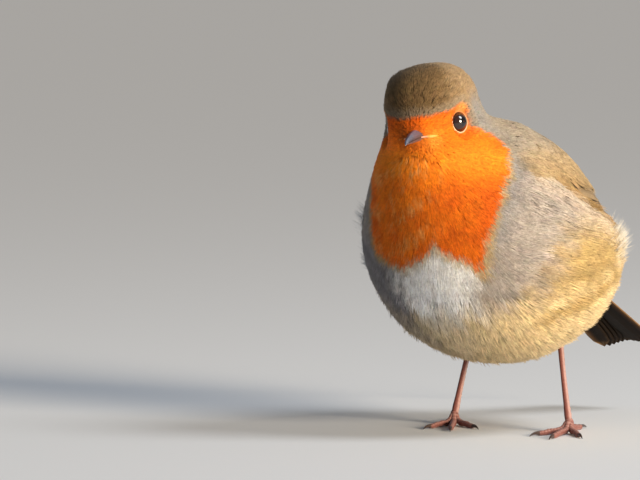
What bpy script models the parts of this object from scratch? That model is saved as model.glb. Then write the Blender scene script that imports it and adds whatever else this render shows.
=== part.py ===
"""A European robin, standing, as a still life-size model.

The bird stands on flat-soled toes at z = 0 and faces -Y; its left side is +X. Lengths are millimetres until a
mesh is made. Head, neck and trunk come out of one rounded form, parted by thin cuts; the wings lie on that form
in overlapping plates, and every piece keeps a small gap to the next.
"""

from math import cos, pi, radians, sin

import bmesh
import bpy
import numpy as np

MM = 0.001
GAP = 0.3  # between neighbouring pieces
SIDES = {"left": 1.0, "right": -1.0}

# Colours of the plumage and bare parts: linear red, green, blue, then roughness
COLOURS = {
    "crown_olive": ((0.19, 0.13, 0.07), 0.85),
    "breast_orange": ((0.72, 0.19, 0.02), 0.85),
    "belly_buff": ((0.56, 0.45, 0.30), 0.90),
    "wing_brown": ((0.17, 0.11, 0.055), 0.75),
    "tail_brown": ((0.13, 0.075, 0.035), 0.70),
    "bill_horn": ((0.05, 0.04, 0.04), 0.35),
    "leg_skin": ((0.24, 0.085, 0.055), 0.50),
    "claw_horn": ((0.05, 0.03, 0.025), 0.40),
    "eye_dark": ((0.012, 0.007, 0.005), 0.08),
}


def clear_scene():
    for old in list(bpy.data.objects):
        bpy.data.objects.remove(old)


def material(slot):
    colour, roughness = COLOURS[slot]
    made = bpy.data.materials.get(slot) or bpy.data.materials.new(slot)
    made.use_nodes = True
    shader = made.node_tree.nodes["Principled BSDF"]
    shader.inputs["Base Color"].default_value = (*colour, 1.0)
    shader.inputs["Roughness"].default_value = roughness
    shader.inputs["Metallic"].default_value = 0.0
    return made


def piece(name, points, faces, slot, origin, crease=50):
    """One named closed mesh, in millimetres, with its origin at a natural point of the piece."""
    mesh = bpy.data.meshes.new(name)
    mesh.from_pydata(((points - origin) * MM).tolist(), [], faces)
    mesh.materials.append(material(slot))
    sheet = bmesh.new()
    sheet.from_mesh(mesh)
    bmesh.ops.remove_doubles(sheet, verts=sheet.verts, dist=1e-3 * MM)
    bmesh.ops.recalc_face_normals(sheet, faces=sheet.faces)
    sheet.to_mesh(mesh)
    sheet.free()
    mesh.shade_smooth()
    mesh.set_sharp_from_angle(angle=radians(crease))
    made = bpy.data.objects.new(name, mesh)
    made.location = np.array(origin) * MM
    made.parent = bpy.data.objects["robin"]
    bpy.context.scene.collection.objects.link(made)
    return made


def cut_out(target, cutter):
    """Takes the cutter's shape away from the target, and keeps the cutter out of the model."""
    cutter.hide_render = True
    cutter.display_type = "WIRE"
    boolean = target.modifiers.new("cut_" + cutter.name, "BOOLEAN")
    boolean.operation = "DIFFERENCE"
    boolean.solver = "EXACT"
    boolean.object = cutter


# ---- Shapes -------------------------------------------------------------------------------------------------


def turn(yaw=0.0, pitch=0.0, roll=0.0):
    """Axes (left, back, up) as columns: yaw turns the front to the bird's left, pitch noses down, roll lifts the left."""
    y, p, r = radians(yaw), radians(pitch), radians(roll)
    about_z = np.array([[cos(y), -sin(y), 0], [sin(y), cos(y), 0], [0, 0, 1]])
    about_x = np.array([[1, 0, 0], [0, cos(p), -sin(p)], [0, sin(p), cos(p)]])
    about_y = np.array([[cos(r), 0, -sin(r)], [0, 1, 0], [sin(r), 0, cos(r)]])
    return about_z @ about_x @ about_y


def unit(v):
    return v / np.linalg.norm(v, axis=-1, keepdims=True)


def lobe(p, centre, radii, axes=np.eye(3), power=2.0):
    """Distance of p from a rounded lobe, measured along the ray from its centre; below zero inside."""
    q = (p - np.asarray(centre)) @ axes
    share = (np.abs(q / np.asarray(radii)) ** power).sum(-1) ** (1 / power)
    return np.linalg.norm(q, axis=-1) * (1 - 1 / np.maximum(share, 1e-6))


def rod(p, start, end, r_start, r_end):
    """Distance of p from a tapering round-ended rod."""
    line = end - start
    along = np.clip(((p - start) @ line) / (line @ line), 0, 1)
    return np.linalg.norm(p - start - along[..., None] * line, axis=-1) - (r_start + (r_end - r_start) * along)


def merge(a, b, width):
    """The nearer of two distances, with the crease between them filleted over that width."""
    near = np.maximum(width - np.abs(a - b), 0) / width
    return np.minimum(a, b) - near * near * width / 4


def surface_along(form, start, way, far, steps=140):
    """Where each ray from start, going way, last leaves the form."""
    inner = np.zeros(start.shape[:-1])
    outer = np.full(start.shape[:-1], far)
    met = np.zeros(start.shape[:-1], bool)
    marks = np.linspace(far, 0, steps)
    for outside, inside in zip(marks[:-1], marks[1:]):
        first = (form(start + way * inside) < 0) & ~met
        inner[first] = inside
        outer[first] = outside
        met |= first
    for _ in range(24):
        middle = (inner + outer) / 2
        within = form(start + way * middle[..., None]) < 0
        inner = np.where(within, middle, inner)
        outer = np.where(within, outer, middle)
    return start + way * inner[..., None]


def outward(form, p, step=0.05):
    """The form's outward normal at p, from differences."""
    shifts = np.eye(3) * step
    return unit(np.stack([form(p + s) - form(p - s) for s in shifts], -1))


def core_rays(top, low, rows, columns, cap, shaft):
    """Rays that fan out over a core line's top end, run square to it, and fan in under its low end."""
    axis = unit(top - low)
    side = unit(np.array([1.0, 0, 0]) - axis * axis[0])
    fore = np.cross(axis, side)
    share = np.linspace(0, 1, rows)
    under = cap + shaft
    tilt = np.where(share < cap, share / cap * pi / 2, pi / 2 + np.clip((share - under) / (1 - under), 0, 1) * pi / 2)
    along = np.clip((share - cap) / shaft, 0, 1)
    round_it = np.arange(columns) / columns * 2 * pi
    rim = side * np.cos(round_it)[:, None] + fore * np.sin(round_it)[:, None]
    way = axis * np.cos(tilt)[:, None, None] + rim * np.sin(tilt)[:, None, None]
    start = np.broadcast_to((top + (low - top) * along[:, None])[:, None], way.shape)
    return start, way


def tube_faces(rows, columns, closed_ends=True):
    """Quads round a tube of rings, with a face over each end ring."""
    faces = [
        (i * columns + j, i * columns + (j + 1) % columns, (i + 1) * columns + (j + 1) % columns, (i + 1) * columns + j)
        for i in range(rows - 1)
        for j in range(columns)
    ]
    if closed_ends:
        faces.append(tuple(range(columns)))
        faces.append(tuple((rows - 1) * columns + j for j in range(columns)))
    return faces


def rounded_shell(form, top, low, rows, columns, cap, shaft, far):
    """A closed mesh of the form: rings of ray ends, with a point over each pole."""
    start, way = core_rays(np.asarray(top), np.asarray(low), rows, columns, cap, shaft)
    ends = surface_along(form, start, way, far)
    ends[0] = ends[0].mean(0)
    ends[-1] = ends[-1].mean(0)
    return ends.reshape(-1, 3), tube_faces(rows, columns, closed_ends=False)


def loft(rings):
    """A closed tube through rings of points."""
    rows, columns = rings.shape[:2]
    return rings.reshape(-1, 3), tube_faces(rows, columns)


def tube(path, radii, ring=8, flat_top=1.0, floor=None):
    """A round tube along a path, its height scaled by flat_top and its underside flattened on the floor."""
    path = np.asarray(path, float)
    ahead = unit(np.gradient(path, axis=0))
    across = unit(np.cross(ahead, [0.0, 0.0, 1.0]) + np.array([1e-6, 0, 0]))
    upward = np.cross(across, ahead)
    angle = (np.arange(ring) + 0.5) / ring * 2 * pi
    radii = np.asarray(radii)[:, None, None]
    rings = path[:, None] + radii * (
        np.cos(angle)[:, None] * across[:, None] + np.sin(angle)[:, None] * upward[:, None] * flat_top
    )
    if floor is not None:
        rings[..., 2] = np.maximum(rings[..., 2], floor)
    return loft(rings)


def plate(inner, outer):
    """A closed plate between two grids of points that share their outline's layout."""
    rows, columns = inner.shape[:2]
    rings = np.concatenate([outer, inner[:, ::-1]], axis=1)
    points, faces = loft(rings)
    return points, faces


# ---- The body's form ----------------------------------------------------------------------------------------

HEAD = np.array([-3.0, -26.0, 87.0])
HEAD_TURN = turn(yaw=17, pitch=4, roll=7)
TRUNK = np.array([0.0, 1.0, 47.0])
FACE = np.array([0.0, -9.0, -4.2])  # middle of the lores and chin, in the head's own axes
TAIL_PITCH = 31
TAIL_TURN = turn(pitch=-TAIL_PITCH, roll=6)


def in_head(place):
    return HEAD + HEAD_TURN @ np.asarray(place, float)


def body_form(p):
    """The fluffed plumage's outer surface: ribcage, breast, throat, head, face, mantle, flanks and rump."""
    form = lobe(p, (0, -2, 46.5), (31.0, 32.5, 27.5), turn(pitch=-20), 2.1)
    form = merge(form, lobe(p, (-1.5, -14, 57), (26.5, 23, 24)), 8)
    form = merge(form, lobe(p, (-2.3, -21.5, 72), (15.8, 18.3, 17.5)), 10)
    form = merge(form, lobe(p, HEAD, (12.5, 14.0, 13.1), HEAD_TURN, 2.3), 5)
    form = merge(form, lobe(p, in_head(FACE), (7.8, 7.2, 6.4), HEAD_TURN), 5)
    form = merge(form, lobe(p, (0, 4, 67.5), (17.5, 20, 12), turn(pitch=-38)), 9)
    for side in SIDES.values():
        form = merge(form, lobe(p, (side * 16, 9.5, 44), (15, 17.5, 14.5), turn(yaw=-8 * side, pitch=-2)), 8)
    return merge(form, lobe(p, (0, 20, 43.5), (13, 17, 11), turn(pitch=-32)), 12)


def wing_bed(p):
    """What the folded wings lie on: the body, and a saddle over the root of the tail."""
    return merge(body_form(p), lobe(p, (0, 36, 37.5), (11, 24, 7), turn(pitch=-TAIL_PITCH)), 6)


# ---- Head, neck and trunk -----------------------------------------------------------------------------------

BODY_ROWS, BODY_COLUMNS = 42, 36
NECK_WAY = unit(np.array([0.0, -0.37, 0.93]))  # square to the cuts above and below the neck
HEAD_CUT = np.array([0.0, -26.0, 78.0])
NECK_CUT = np.array([0.0, -26.0, 67.0])
TAIL_ROOT = np.array([0.0, 34.0, 41.5])
BILL_BASE = 15.8  # distance of the bill's root plane ahead of the head's middle


def body_slice(name, points, faces, slot, origin, cuts):
    """The body's shell with everything on the far side of each cut taken off and the cut closed flat."""
    made = piece(name, points, faces, slot, origin)
    sheet = bmesh.new()
    sheet.from_mesh(made.data)
    for place, normal in cuts:
        cut = bmesh.ops.bisect_plane(
            sheet,
            geom=[*sheet.verts, *sheet.edges, *sheet.faces],
            dist=1e-9,
            plane_co=((place - origin) * MM).tolist(),
            plane_no=normal.tolist(),
            clear_outer=True,
        )
        rim = [e for e in cut["geom_cut"] if isinstance(e, bmesh.types.BMEdge)]
        bmesh.ops.holes_fill(sheet, edges=rim, sides=0)
    bmesh.ops.triangulate(sheet, faces=[f for f in sheet.faces if len(f.verts) > 4])
    bmesh.ops.recalc_face_normals(sheet, faces=sheet.faces)
    sheet.to_mesh(made.data)
    sheet.free()
    made.data.shade_smooth()
    made.data.set_sharp_from_angle(angle=radians(50))
    return made


def build_body():
    points, faces = rounded_shell(body_form, HEAD, TRUNK, BODY_ROWS, BODY_COLUMNS, cap=0.26, shaft=0.26, far=70)
    half = NECK_WAY * GAP / 2
    bill_way = -HEAD_TURN[:, 1]
    tail_way = TAIL_TURN[:, 1]
    head_cuts = [(HEAD_CUT + half, -NECK_WAY), (in_head((0, -BILL_BASE, 0)), bill_way)]
    neck_cuts = [(HEAD_CUT - half, NECK_WAY), (NECK_CUT + half, -NECK_WAY)]
    trunk_cuts = [(NECK_CUT - half, NECK_WAY), (TAIL_ROOT, tail_way)]
    head = body_slice("head", points, faces, "crown_olive", HEAD, head_cuts)
    body_slice("neck", points, faces, "breast_orange", (HEAD_CUT + NECK_CUT) / 2, neck_cuts)
    trunk = body_slice("trunk", points, faces, "belly_buff", TRUNK, trunk_cuts)
    return head, trunk


# ---- Eyes ---------------------------------------------------------------------------------------------------

EYE_RADIUS = 3.3
EYE_BEARING = 63  # degrees out from straight ahead
EYE_RISE = 4
EYE_SURFACE = np.array([9.9, -6.8, -2.9])  # middle of the lid opening, left side, in the head's axes
EYE_SINK = 2.1  # from the lid opening in to the ball's middle
LID_DEPTH = 1.7  # from the ball's middle out to where the socket starts to flare
HOLLOW_FLARE = (3.2, 5.2)  # length and end radius of the flare, through the plumage round the eye


def ball(radius, rows, columns, pole):
    """A globe with its poles along the given way."""
    pole = unit(np.asarray(pole, float))
    side = unit(np.cross(pole, [0.0, 0.0, 1.0]))
    fore = np.cross(pole, side)
    dip = np.linspace(0, pi, rows)[:, None, None]
    angle = (np.arange(columns) / columns * 2 * pi)[:, None]
    rings = pole * np.cos(dip) + (side * np.cos(angle) + fore * np.sin(angle)) * np.sin(dip)
    return (rings * radius).reshape(-1, 3), tube_faces(rows, columns, closed_ends=False)


def eye_place(side):
    """(middle of the ball, the way the eye looks), for that side of the head."""
    bearing, rise = radians(EYE_BEARING), radians(EYE_RISE)
    look = np.array([side * sin(bearing) * cos(rise), -cos(bearing) * cos(rise), sin(rise)])
    opening = EYE_SURFACE * np.array([side, 1, 1])
    return in_head(opening - look * EYE_SINK), HEAD_TURN @ look


def eye_hollow(look):
    """A round socket one gap larger than the eye, that flares out in front of the lids."""
    side = unit(np.cross(look, [0.0, 0.0, 1.0]))
    fore = np.cross(look, side)
    rim = np.arccos(LID_DEPTH / (EYE_RADIUS + GAP))
    dip = np.linspace(pi * 0.97, rim, 9)
    depth = np.append(np.cos(dip) * (EYE_RADIUS + GAP), LID_DEPTH + HOLLOW_FLARE[0])
    width = np.append(np.sin(dip) * (EYE_RADIUS + GAP), HOLLOW_FLARE[1])
    angle = (np.arange(20) / 20 * 2 * pi)[:, None]
    rings = depth[:, None, None] * look + width[:, None, None] * (side * np.cos(angle) + fore * np.sin(angle))
    return loft(rings)


def build_eyes(head):
    for word, side in SIDES.items():
        middle, look = eye_place(side)
        points, faces = ball(EYE_RADIUS, 11, 16, look)
        piece("eye_" + word, points + middle, faces, "eye_dark", middle)
        points, faces = eye_hollow(look)
        socket = piece("eye_socket_" + word, points + middle, faces, "crown_olive", middle)
        cut_out(head, socket)


# ---- Bill ---------------------------------------------------------------------------------------------------

BILL_LENGTH = 9.8
BILL_HALF_WIDTH = 2.4
BILL_DROP = 4.7  # the mouth line at the bill's root, below the head's middle
BILL_BEND = (0.4, 0.5)  # how far the mouth line sinks to the tip: evenly, and more and more
UPPER_DEPTH, LOWER_DEPTH = 1.5, 1.2
TIP_RADIUS = 0.26
BILL_ROWS, BILL_ARC = 10, 8


def bill_half(name, rise):
    """One half of the bill: half-ellipses that narrow to the tip, the closed mouth's line bent slightly down."""
    along = np.linspace(0, 1, BILL_ROWS)
    half_width = BILL_HALF_WIDTH * (1 - along) ** 0.85 + TIP_RADIUS
    if rise > 0:
        depth = UPPER_DEPTH * (1 - along**1.5) ** 0.9 + TIP_RADIUS
        reach = BILL_LENGTH
    else:
        depth = LOWER_DEPTH * (1 - along) ** 0.8 + TIP_RADIUS
        reach = BILL_LENGTH - 0.5
    mouth = -BILL_DROP - BILL_BEND[0] * along - BILL_BEND[1] * along**2 + rise * GAP / 2
    angle = np.linspace(0, pi, BILL_ARC)
    x = half_width[:, None] * np.cos(angle)
    z = mouth[:, None] + rise * depth[:, None] * np.sin(angle) ** 1.2
    y = np.broadcast_to(-(BILL_BASE + GAP + reach * along)[:, None], x.shape)
    rings = in_head_all(np.stack([x, y, z], -1))
    points, faces = loft(rings)
    piece(name, points, faces, "bill_horn", in_head((0, -BILL_BASE, -BILL_DROP)), crease=40)


def in_head_all(places):
    return HEAD + places @ HEAD_TURN.T


def build_bill():
    bill_half("bill_upper", 1)
    bill_half("bill_lower", -1)


# ---- Wings --------------------------------------------------------------------------------------------------
# Each folded wing lies along the trunk's long axis. A place on it is a distance back along that axis and an
# angle round it, 0 straight up and 90 out to the side.

AXIS_START = np.array([0.0, -20.0, 57.0])
AXIS_WAY = unit(np.array([0.0, 66.0, -21.0]))
AXIS_UP = np.cross([1.0, 0.0, 0.0], AXIS_WAY)

# Station along the axis: the upper and the lower edge's angle there, and how thick the folded feathers lie
WING_STATIONS = (4, 9, 18, 33, 36, 48, 55, 58, 68, 75)
UPPER_EDGE = (44, 34, 26, 23, 23, 24, 27, 30, 48, 66)
LOWER_EDGE = (62, 76, 84, 81, 80, 73, 71, 71, 74, 78)
FEATHER_DEPTH = (1.2, 2.2, 2.6, 2.5, 2.0, 1.9, 1.8, 1.4, 1.1, 0.8)
WING_ROWS, WING_COLUMNS = 25, 11
WING_LIFT = 0.95  # off the body
WING_FEATHER_STEPS = 4
LEAST_THICKNESS = 0.55


def build_wing(word, side):
    """A folded wing: a plate of stepped feathers, thinning to its edges and its tip, that lies along the body."""
    along = np.linspace(WING_STATIONS[0], WING_STATIONS[-1], WING_ROWS)
    across = np.linspace(0, 1, WING_COLUMNS)
    top, foot = np.interp(along, WING_STATIONS, UPPER_EDGE), np.interp(along, WING_STATIONS, LOWER_EDGE)
    angle = np.radians(top[:, None] + (foot - top)[:, None] * across)
    way = side * np.sin(angle)[..., None] * np.array([1.0, 0, 0]) + np.cos(angle)[..., None] * AXIS_UP
    start = np.broadcast_to(AXIS_START + along[:, None, None] * AXIS_WAY, way.shape)
    bed = surface_along(wing_bed, start, way, far=55)
    normal = outward(wing_bed, bed)
    crown = 1 - np.abs(2 * across - 1) ** 3
    vane = (across * WING_FEATHER_STEPS) % 1.0
    full = np.interp(along, WING_STATIONS, FEATHER_DEPTH)[:, None]
    depth = LEAST_THICKNESS + (full - LEAST_THICKNESS + 0.25 * vane) * crown
    inner = bed + normal * WING_LIFT
    points, faces = plate(inner, inner + normal * depth[..., None])
    piece("wing_" + word, points, faces, "wing_brown", bed[0].mean(0), crease=35)


def build_wings():
    for word, side in SIDES.items():
        build_wing(word, side)


# ---- Tail ---------------------------------------------------------------------------------------------------

TAIL_LENGTH = 39.0  # showing beyond the rump
TAIL_HALF_WIDTHS = (6.0, 9.6)
TAIL_ROWS = 7
TAIL_FEATHERS_A_SIDE = 5
TAIL_THICKNESS = (2.0, 0.7)
TAIL_ARCH = 0.9  # how far the outer feathers lie below the middle pair


def build_tail():
    """The closed tail: a shallow arch of overlapping feathers, widening to a softly notched end."""
    share = np.linspace(0, 1, TAIL_ROWS)[:, None]
    feather = np.linspace(-1, 1, 4 * TAIL_FEATHERS_A_SIDE + 1)[None]
    half = TAIL_HALF_WIDTHS[0] + (TAIL_HALF_WIDTHS[1] - TAIL_HALF_WIDTHS[0]) * share
    notch = 1.4 * (1 - np.abs(feather)) - 1.0 * np.clip(np.abs(feather) - 0.8, 0, 1) / 0.2
    tips = 0.7 * np.abs(np.sin(feather * TAIL_FEATHERS_A_SIDE * pi / 2))
    reach = (TAIL_LENGTH - notch + tips) * share
    vane = (np.abs(feather) * TAIL_FEATHERS_A_SIDE * 0.999) % 1.0
    thickness = TAIL_THICKNESS[0] + (TAIL_THICKNESS[1] - TAIL_THICKNESS[0]) * share
    x, y, z, thickness = np.broadcast_arrays(
        half * feather, reach + GAP, -TAIL_ARCH * feather**2 - 0.25 * vane, thickness
    )
    upper = np.stack([x, y, z], -1)
    lower = np.stack([x, y, z - thickness], -1)
    place = TAIL_ROOT + np.array([0.0, 0.0, -0.5])
    points, faces = plate(place + lower @ TAIL_TURN.T, place + upper @ TAIL_TURN.T)
    piece("tail", points, faces, "tail_brown", place, crease=35)


# ---- Legs and feet ------------------------------------------------------------------------------------------

ANKLES = {"left": (13.2, 12.5, 28.4), "right": (-13.5, 12.5, 28.4)}  # inside the belly's plumage
TOE_JOINTS = {"left": (20.0, 7.0, 3.6), "right": (-17.0, 7.0, 3.6)}
TARSUS_RADII = (1.05, 0.8, 0.72, 0.78, 1.0)
HUB_RISE = 3.2  # how far up the shank the toe joint's knuckle reaches
HUB_STUB = 3.7  # how far out the toes stay grown together
FOOT_TURN = {"left": 16, "right": 30}  # toes turned to the bird's left

# name: (bearing from the middle toe, outward positive; length beyond the grown-together stub; radius; claw length)
TOES = {
    "inner": (-30, 7.2, 0.82, 3.6),
    "middle": (0, 11.3, 0.86, 4.0),
    "outer": (29, 8.2, 0.80, 3.6),
    "hind": (178, 5.6, 0.92, 5.6),
}
TOE_PADS = 2


def toe_way(word, side, bearing):
    angle = radians(FOOT_TURN[word] + side * bearing)
    return np.array([sin(angle), -cos(angle), 0.0])


def leg_points(word):
    return np.array(ANKLES[word]), np.array(TOE_JOINTS[word])


def build_shank(trunk, word):
    """The scaled shank, from inside the belly's plumage down to the toe joint, in a snug well in the trunk."""
    ankle, joint = leg_points(word)
    up = unit(ankle - joint)
    low = joint + up * (HUB_RISE + GAP)
    share = np.linspace(0, 1, len(TARSUS_RADII))[:, None]
    points, faces = tube(ankle + (low - ankle) * share, TARSUS_RADII, ring=10)
    piece("shank_" + word, points, faces, "leg_skin", ankle)
    well = [ankle + up * GAP, ankle - up * 25]
    points, faces = tube(well, (TARSUS_RADII[0] + GAP, TARSUS_RADII[0] + GAP), ring=12)
    cut_out(trunk, piece("leg_well_" + word, points, faces, "belly_buff", ankle))


def build_foot_hub(word, side):
    """The knuckle where shank and toes meet: short rods grown together, flat underneath."""
    ankle, joint = leg_points(word)
    up = unit(ankle - joint)
    floor_joint = joint * np.array([1, 1, 0])
    stubs = [
        (floor_joint + toe_way(word, side, bearing) * (HUB_STUB - radius) + [0, 0, radius * 0.85], radius)
        for bearing, _, radius, _ in TOES.values()
    ]

    def hub_form(p):
        form = rod(p, joint, joint + up * (HUB_RISE + 0.5), 1.25, 0.95)
        for end, radius in stubs:
            form = merge(form, rod(p, joint - np.array([0, 0, 1.2]), end, 1.1, radius), 0.5)
        return form

    points, faces = rounded_shell(hub_form, joint + up * 0.6, joint - up * 1.4, 11, 18, cap=0.35, shaft=0.3, far=8)
    points -= up * np.maximum((points - joint) @ up - HUB_RISE, 0)[:, None]  # flat where the shank stands on it
    points[:, 2] = np.maximum(points[:, 2], 0.0)
    piece("foot_" + word, points, faces, "leg_skin", joint)


def build_toe(word, side, toe):
    """A toe of soft pads, flat underneath, and the curved claw beyond it."""
    bearing, length, radius, claw = TOES[toe]
    way = toe_way(word, side, bearing)
    joint = leg_points(word)[1] * np.array([1, 1, 0])
    share = np.linspace(0, 1, 3 * TOE_PADS + 1)
    out = HUB_STUB + GAP + length * share
    pads = radius * (1 - 0.22 * share) * (1 - 0.10 * np.cos(share * TOE_PADS * 2 * pi))
    pads[-1] *= 0.72
    height = pads * 0.86
    path = joint + way * out[:, None] + np.array([0, 0, 1.0]) * height[:, None]
    points, faces = tube(path, pads, ring=8, floor=0.0)
    piece(f"toe_{word}_{toe}", points, faces, "leg_skin", path[0], crease=60)

    bend = np.linspace(0, 1, 5)
    claw_out = out[-1] + GAP + claw * bend
    thick = 0.60 * (1 - bend) ** 0.8 + 0.16
    arch = 0.62 + 0.55 * np.sin(bend * pi) - 0.40 * bend
    path = joint + way * claw_out[:, None] + np.array([0, 0, 1.0]) * arch[:, None]
    points, faces = tube(path, thick, ring=6, flat_top=1.2, floor=0.0)
    piece(f"claw_{word}_{toe}", points, faces, "claw_horn", path[0], crease=60)


def build_legs(trunk):
    for word, side in SIDES.items():
        build_shank(trunk, word)
        build_foot_hub(word, side)
        for toe in TOES:
            build_toe(word, side, toe)


# ---- The whole bird -----------------------------------------------------------------------------------------


def centre_on_origin(parent):
    """Puts the middle of the bird's box over the origin; its soles are already at z = 0."""
    bpy.context.view_layer.update()
    graph = bpy.context.evaluated_depsgraph_get()
    shown = [o for o in parent.children if not o.hide_render]
    corners = [o.matrix_world @ v.co for o in (s.evaluated_get(graph) for s in shown) for v in o.data.vertices]
    corners = np.array(corners)
    middle = (corners.min(0) + corners.max(0)) / 2
    parent.location = (-middle[0], -middle[1], 0.0)


def main():
    clear_scene()
    robin = bpy.data.objects.new("robin", None)
    bpy.context.scene.collection.objects.link(robin)
    head, trunk = build_body()
    build_eyes(head)
    build_bill()
    build_wings()
    build_tail()
    build_legs(trunk)
    centre_on_origin(robin)


main()
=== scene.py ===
"""A life-size European robin, standing: the skin, the plumage and the bare parts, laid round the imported
solids."""

import bpy
import numpy as np
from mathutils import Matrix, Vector


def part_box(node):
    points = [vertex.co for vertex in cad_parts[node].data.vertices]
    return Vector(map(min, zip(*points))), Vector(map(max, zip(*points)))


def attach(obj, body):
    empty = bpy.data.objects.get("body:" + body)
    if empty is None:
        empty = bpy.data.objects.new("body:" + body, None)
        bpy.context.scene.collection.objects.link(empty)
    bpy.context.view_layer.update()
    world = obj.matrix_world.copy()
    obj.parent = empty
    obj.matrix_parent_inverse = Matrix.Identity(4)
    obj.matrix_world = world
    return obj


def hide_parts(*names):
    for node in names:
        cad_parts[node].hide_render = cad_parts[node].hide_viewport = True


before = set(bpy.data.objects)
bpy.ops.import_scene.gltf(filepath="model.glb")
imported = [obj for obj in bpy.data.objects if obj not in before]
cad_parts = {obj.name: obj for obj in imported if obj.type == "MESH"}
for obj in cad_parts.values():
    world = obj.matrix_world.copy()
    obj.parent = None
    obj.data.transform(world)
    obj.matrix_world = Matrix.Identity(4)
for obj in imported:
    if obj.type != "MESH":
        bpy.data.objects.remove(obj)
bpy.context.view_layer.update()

# ---- Skin --------------------------------------------------------------------------------------------------
# The robin's skin under its feathers: one closed bag from the crown to the vent, thin and warm in colour
# where it shows between feathers. It lies inside the head, neck and trunk solids by the depth of the plumage,
# and its surface carries the same markings as the feathers that grow out of it, a little darker for the
# under-feathers and as painted shade between the tufts.


def turn(yaw=0.0, pitch=0.0, roll=0.0):
    """Axes left, back, up as columns: turned about up by yaw, about left by pitch, then about back by
    roll."""
    y, p, r = np.radians([yaw, pitch, roll])
    about_z = np.array([[np.cos(y), -np.sin(y), 0], [np.sin(y), np.cos(y), 0], [0, 0, 1]])
    about_x = np.array([[1, 0, 0], [0, np.cos(p), -np.sin(p)], [0, np.sin(p), np.cos(p)]])
    about_y = np.array([[np.cos(r), 0, -np.sin(r)], [0, 1, 0], [np.sin(r), 0, np.cos(r)]])
    return about_z @ about_x @ about_y


def unit(v):
    """Each vector over its length."""
    return v / np.maximum(np.linalg.norm(v, axis=-1, keepdims=True), 1e-9)


def lobe(p, centre, radii, axes=np.eye(3), power=2.0):
    """Distance from a rounded lobe along the ray from its centre: |q| (1 - 1 / power-norm of q over the
    radii)."""
    q = (p - np.asarray(centre)) @ axes
    share = (np.abs(q / np.asarray(radii)) ** power).sum(-1) ** (1 / power)
    return np.linalg.norm(q, axis=-1) * (1 - 1 / np.maximum(share, 1e-6))


def merge(a, b, width):
    """The smaller of two distances less a quarter of width times the squared share of their nearness."""
    near = np.maximum(width - np.abs(a - b), 0) / width
    return np.minimum(a, b) - near * near * width / 4


def step(x, low, high):
    """0 below low, 1 above high and 3t2 - 2t3 between."""
    t = np.clip((x - low) / (high - low), 0, 1)
    return t * t * (3 - 2 * t)


def near(p, centre, reach):
    """A bell round a centre: exp(-d2 / reach2) at a distance d."""
    return np.exp(-((p - np.asarray(centre)) ** 2).sum(-1) / reach**2)


HEAD = np.array([-3.0, -26.0, 87.0])  # millimetres, as every length here until a mesh is made
HEAD_TURN = turn(yaw=17, pitch=4, roll=7)
TRUNK = np.array([0.0, 1.0, 47.0])
FACE = np.array([0.0, -9.0, -4.2])
TAIL_PITCH = 31
TAIL_TURN = turn(pitch=-TAIL_PITCH, roll=6)
TAIL_ROOT = np.array([0.0, 34.0, 41.5])
EYE_RADIUS = 3.3
EYE_SINK = {1.0: 2.1, -1.0: 3.0}  # the right eye lies a little deeper in its ruffled cheek
EYE_OPENING = np.array([9.9, -6.8, -2.9])
EYE_BEARING, EYE_RISE = np.radians(63), np.radians(4)
EYE_LOOK = np.array(
    [np.sin(EYE_BEARING) * np.cos(EYE_RISE), -np.cos(EYE_BEARING) * np.cos(EYE_RISE), np.sin(EYE_RISE)]
)
EYE_HOLLOW = 2.15  # how far the plumage dips over each eye
HOLLOW_REACH = (1.6, 5.6)  # from the line of sight: where the dip begins to rise, and where it ends
SIDES = {"left": 1.0, "right": -1.0}


def in_head(places):
    """Places in the head's own axes, taken to the bird's."""
    return HEAD + np.asarray(places, float) @ HEAD_TURN.T


def eye_of(side):
    """Middle of the eyeball and the way it looks, for that side: the left eye mirrored in the head's own
    axes."""
    mirror = np.array([side, 1, 1])
    return in_head((EYE_OPENING - EYE_LOOK * EYE_SINK[side]) * mirror), HEAD_TURN @ (EYE_LOOK * mirror)


def eye_distance(p):
    """Distance from the nearer eye's line of sight, on the eye's own side of the head."""
    gaps = []
    for side in SIDES.values():
        middle, look = eye_of(side)
        q = p - middle
        along = q @ look
        gaps.append(np.where(along > 0, np.linalg.norm(q - along[..., None] * look, axis=-1), 50.0))
    return np.minimum(*gaps)


def plumage(p):
    """Distance from the tips of the coat: ribcage, breast, throat, head, face, mantle, flanks and rump
    merged, with a round dip over each eye."""
    form = lobe(p, (0, -2, 46.5), (31.0, 32.5, 27.5), turn(pitch=-20), 2.1)
    form = merge(form, lobe(p, (-1.5, -14, 57), (26.5, 23, 24)), 8)
    form = merge(form, lobe(p, (-2.3, -21.5, 72), (15.8, 18.3, 17.5)), 10)
    form = merge(form, lobe(p, in_head((0.65, 0, 0)), (12.4, 14.0, 13.0), HEAD_TURN, 2.35), 5)
    form = merge(form, lobe(p, in_head(FACE), (7.8, 7.2, 6.4), HEAD_TURN), 5)
    form = merge(form, lobe(p, (0, 4, 67.5), (17.5, 20, 12), turn(pitch=-38)), 9)
    for side in SIDES.values():
        form = merge(form, lobe(p, (side * 16, 9.5, 44), (15, 17.5, 14.5), turn(yaw=-8 * side, pitch=-2)), 8)
    form = merge(form, lobe(p, (0, 20, 43.5), (13, 17, 11), turn(pitch=-32)), 12)
    return form + EYE_HOLLOW * step(-eye_distance(p), -HOLLOW_REACH[1], -HOLLOW_REACH[0])


def outward(form, p, reach=0.05):
    """The form's outward normal: its rise along each axis, made one long."""
    return unit(np.stack([form(p + s) - form(p - s) for s in np.eye(3) * reach], -1))


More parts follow.
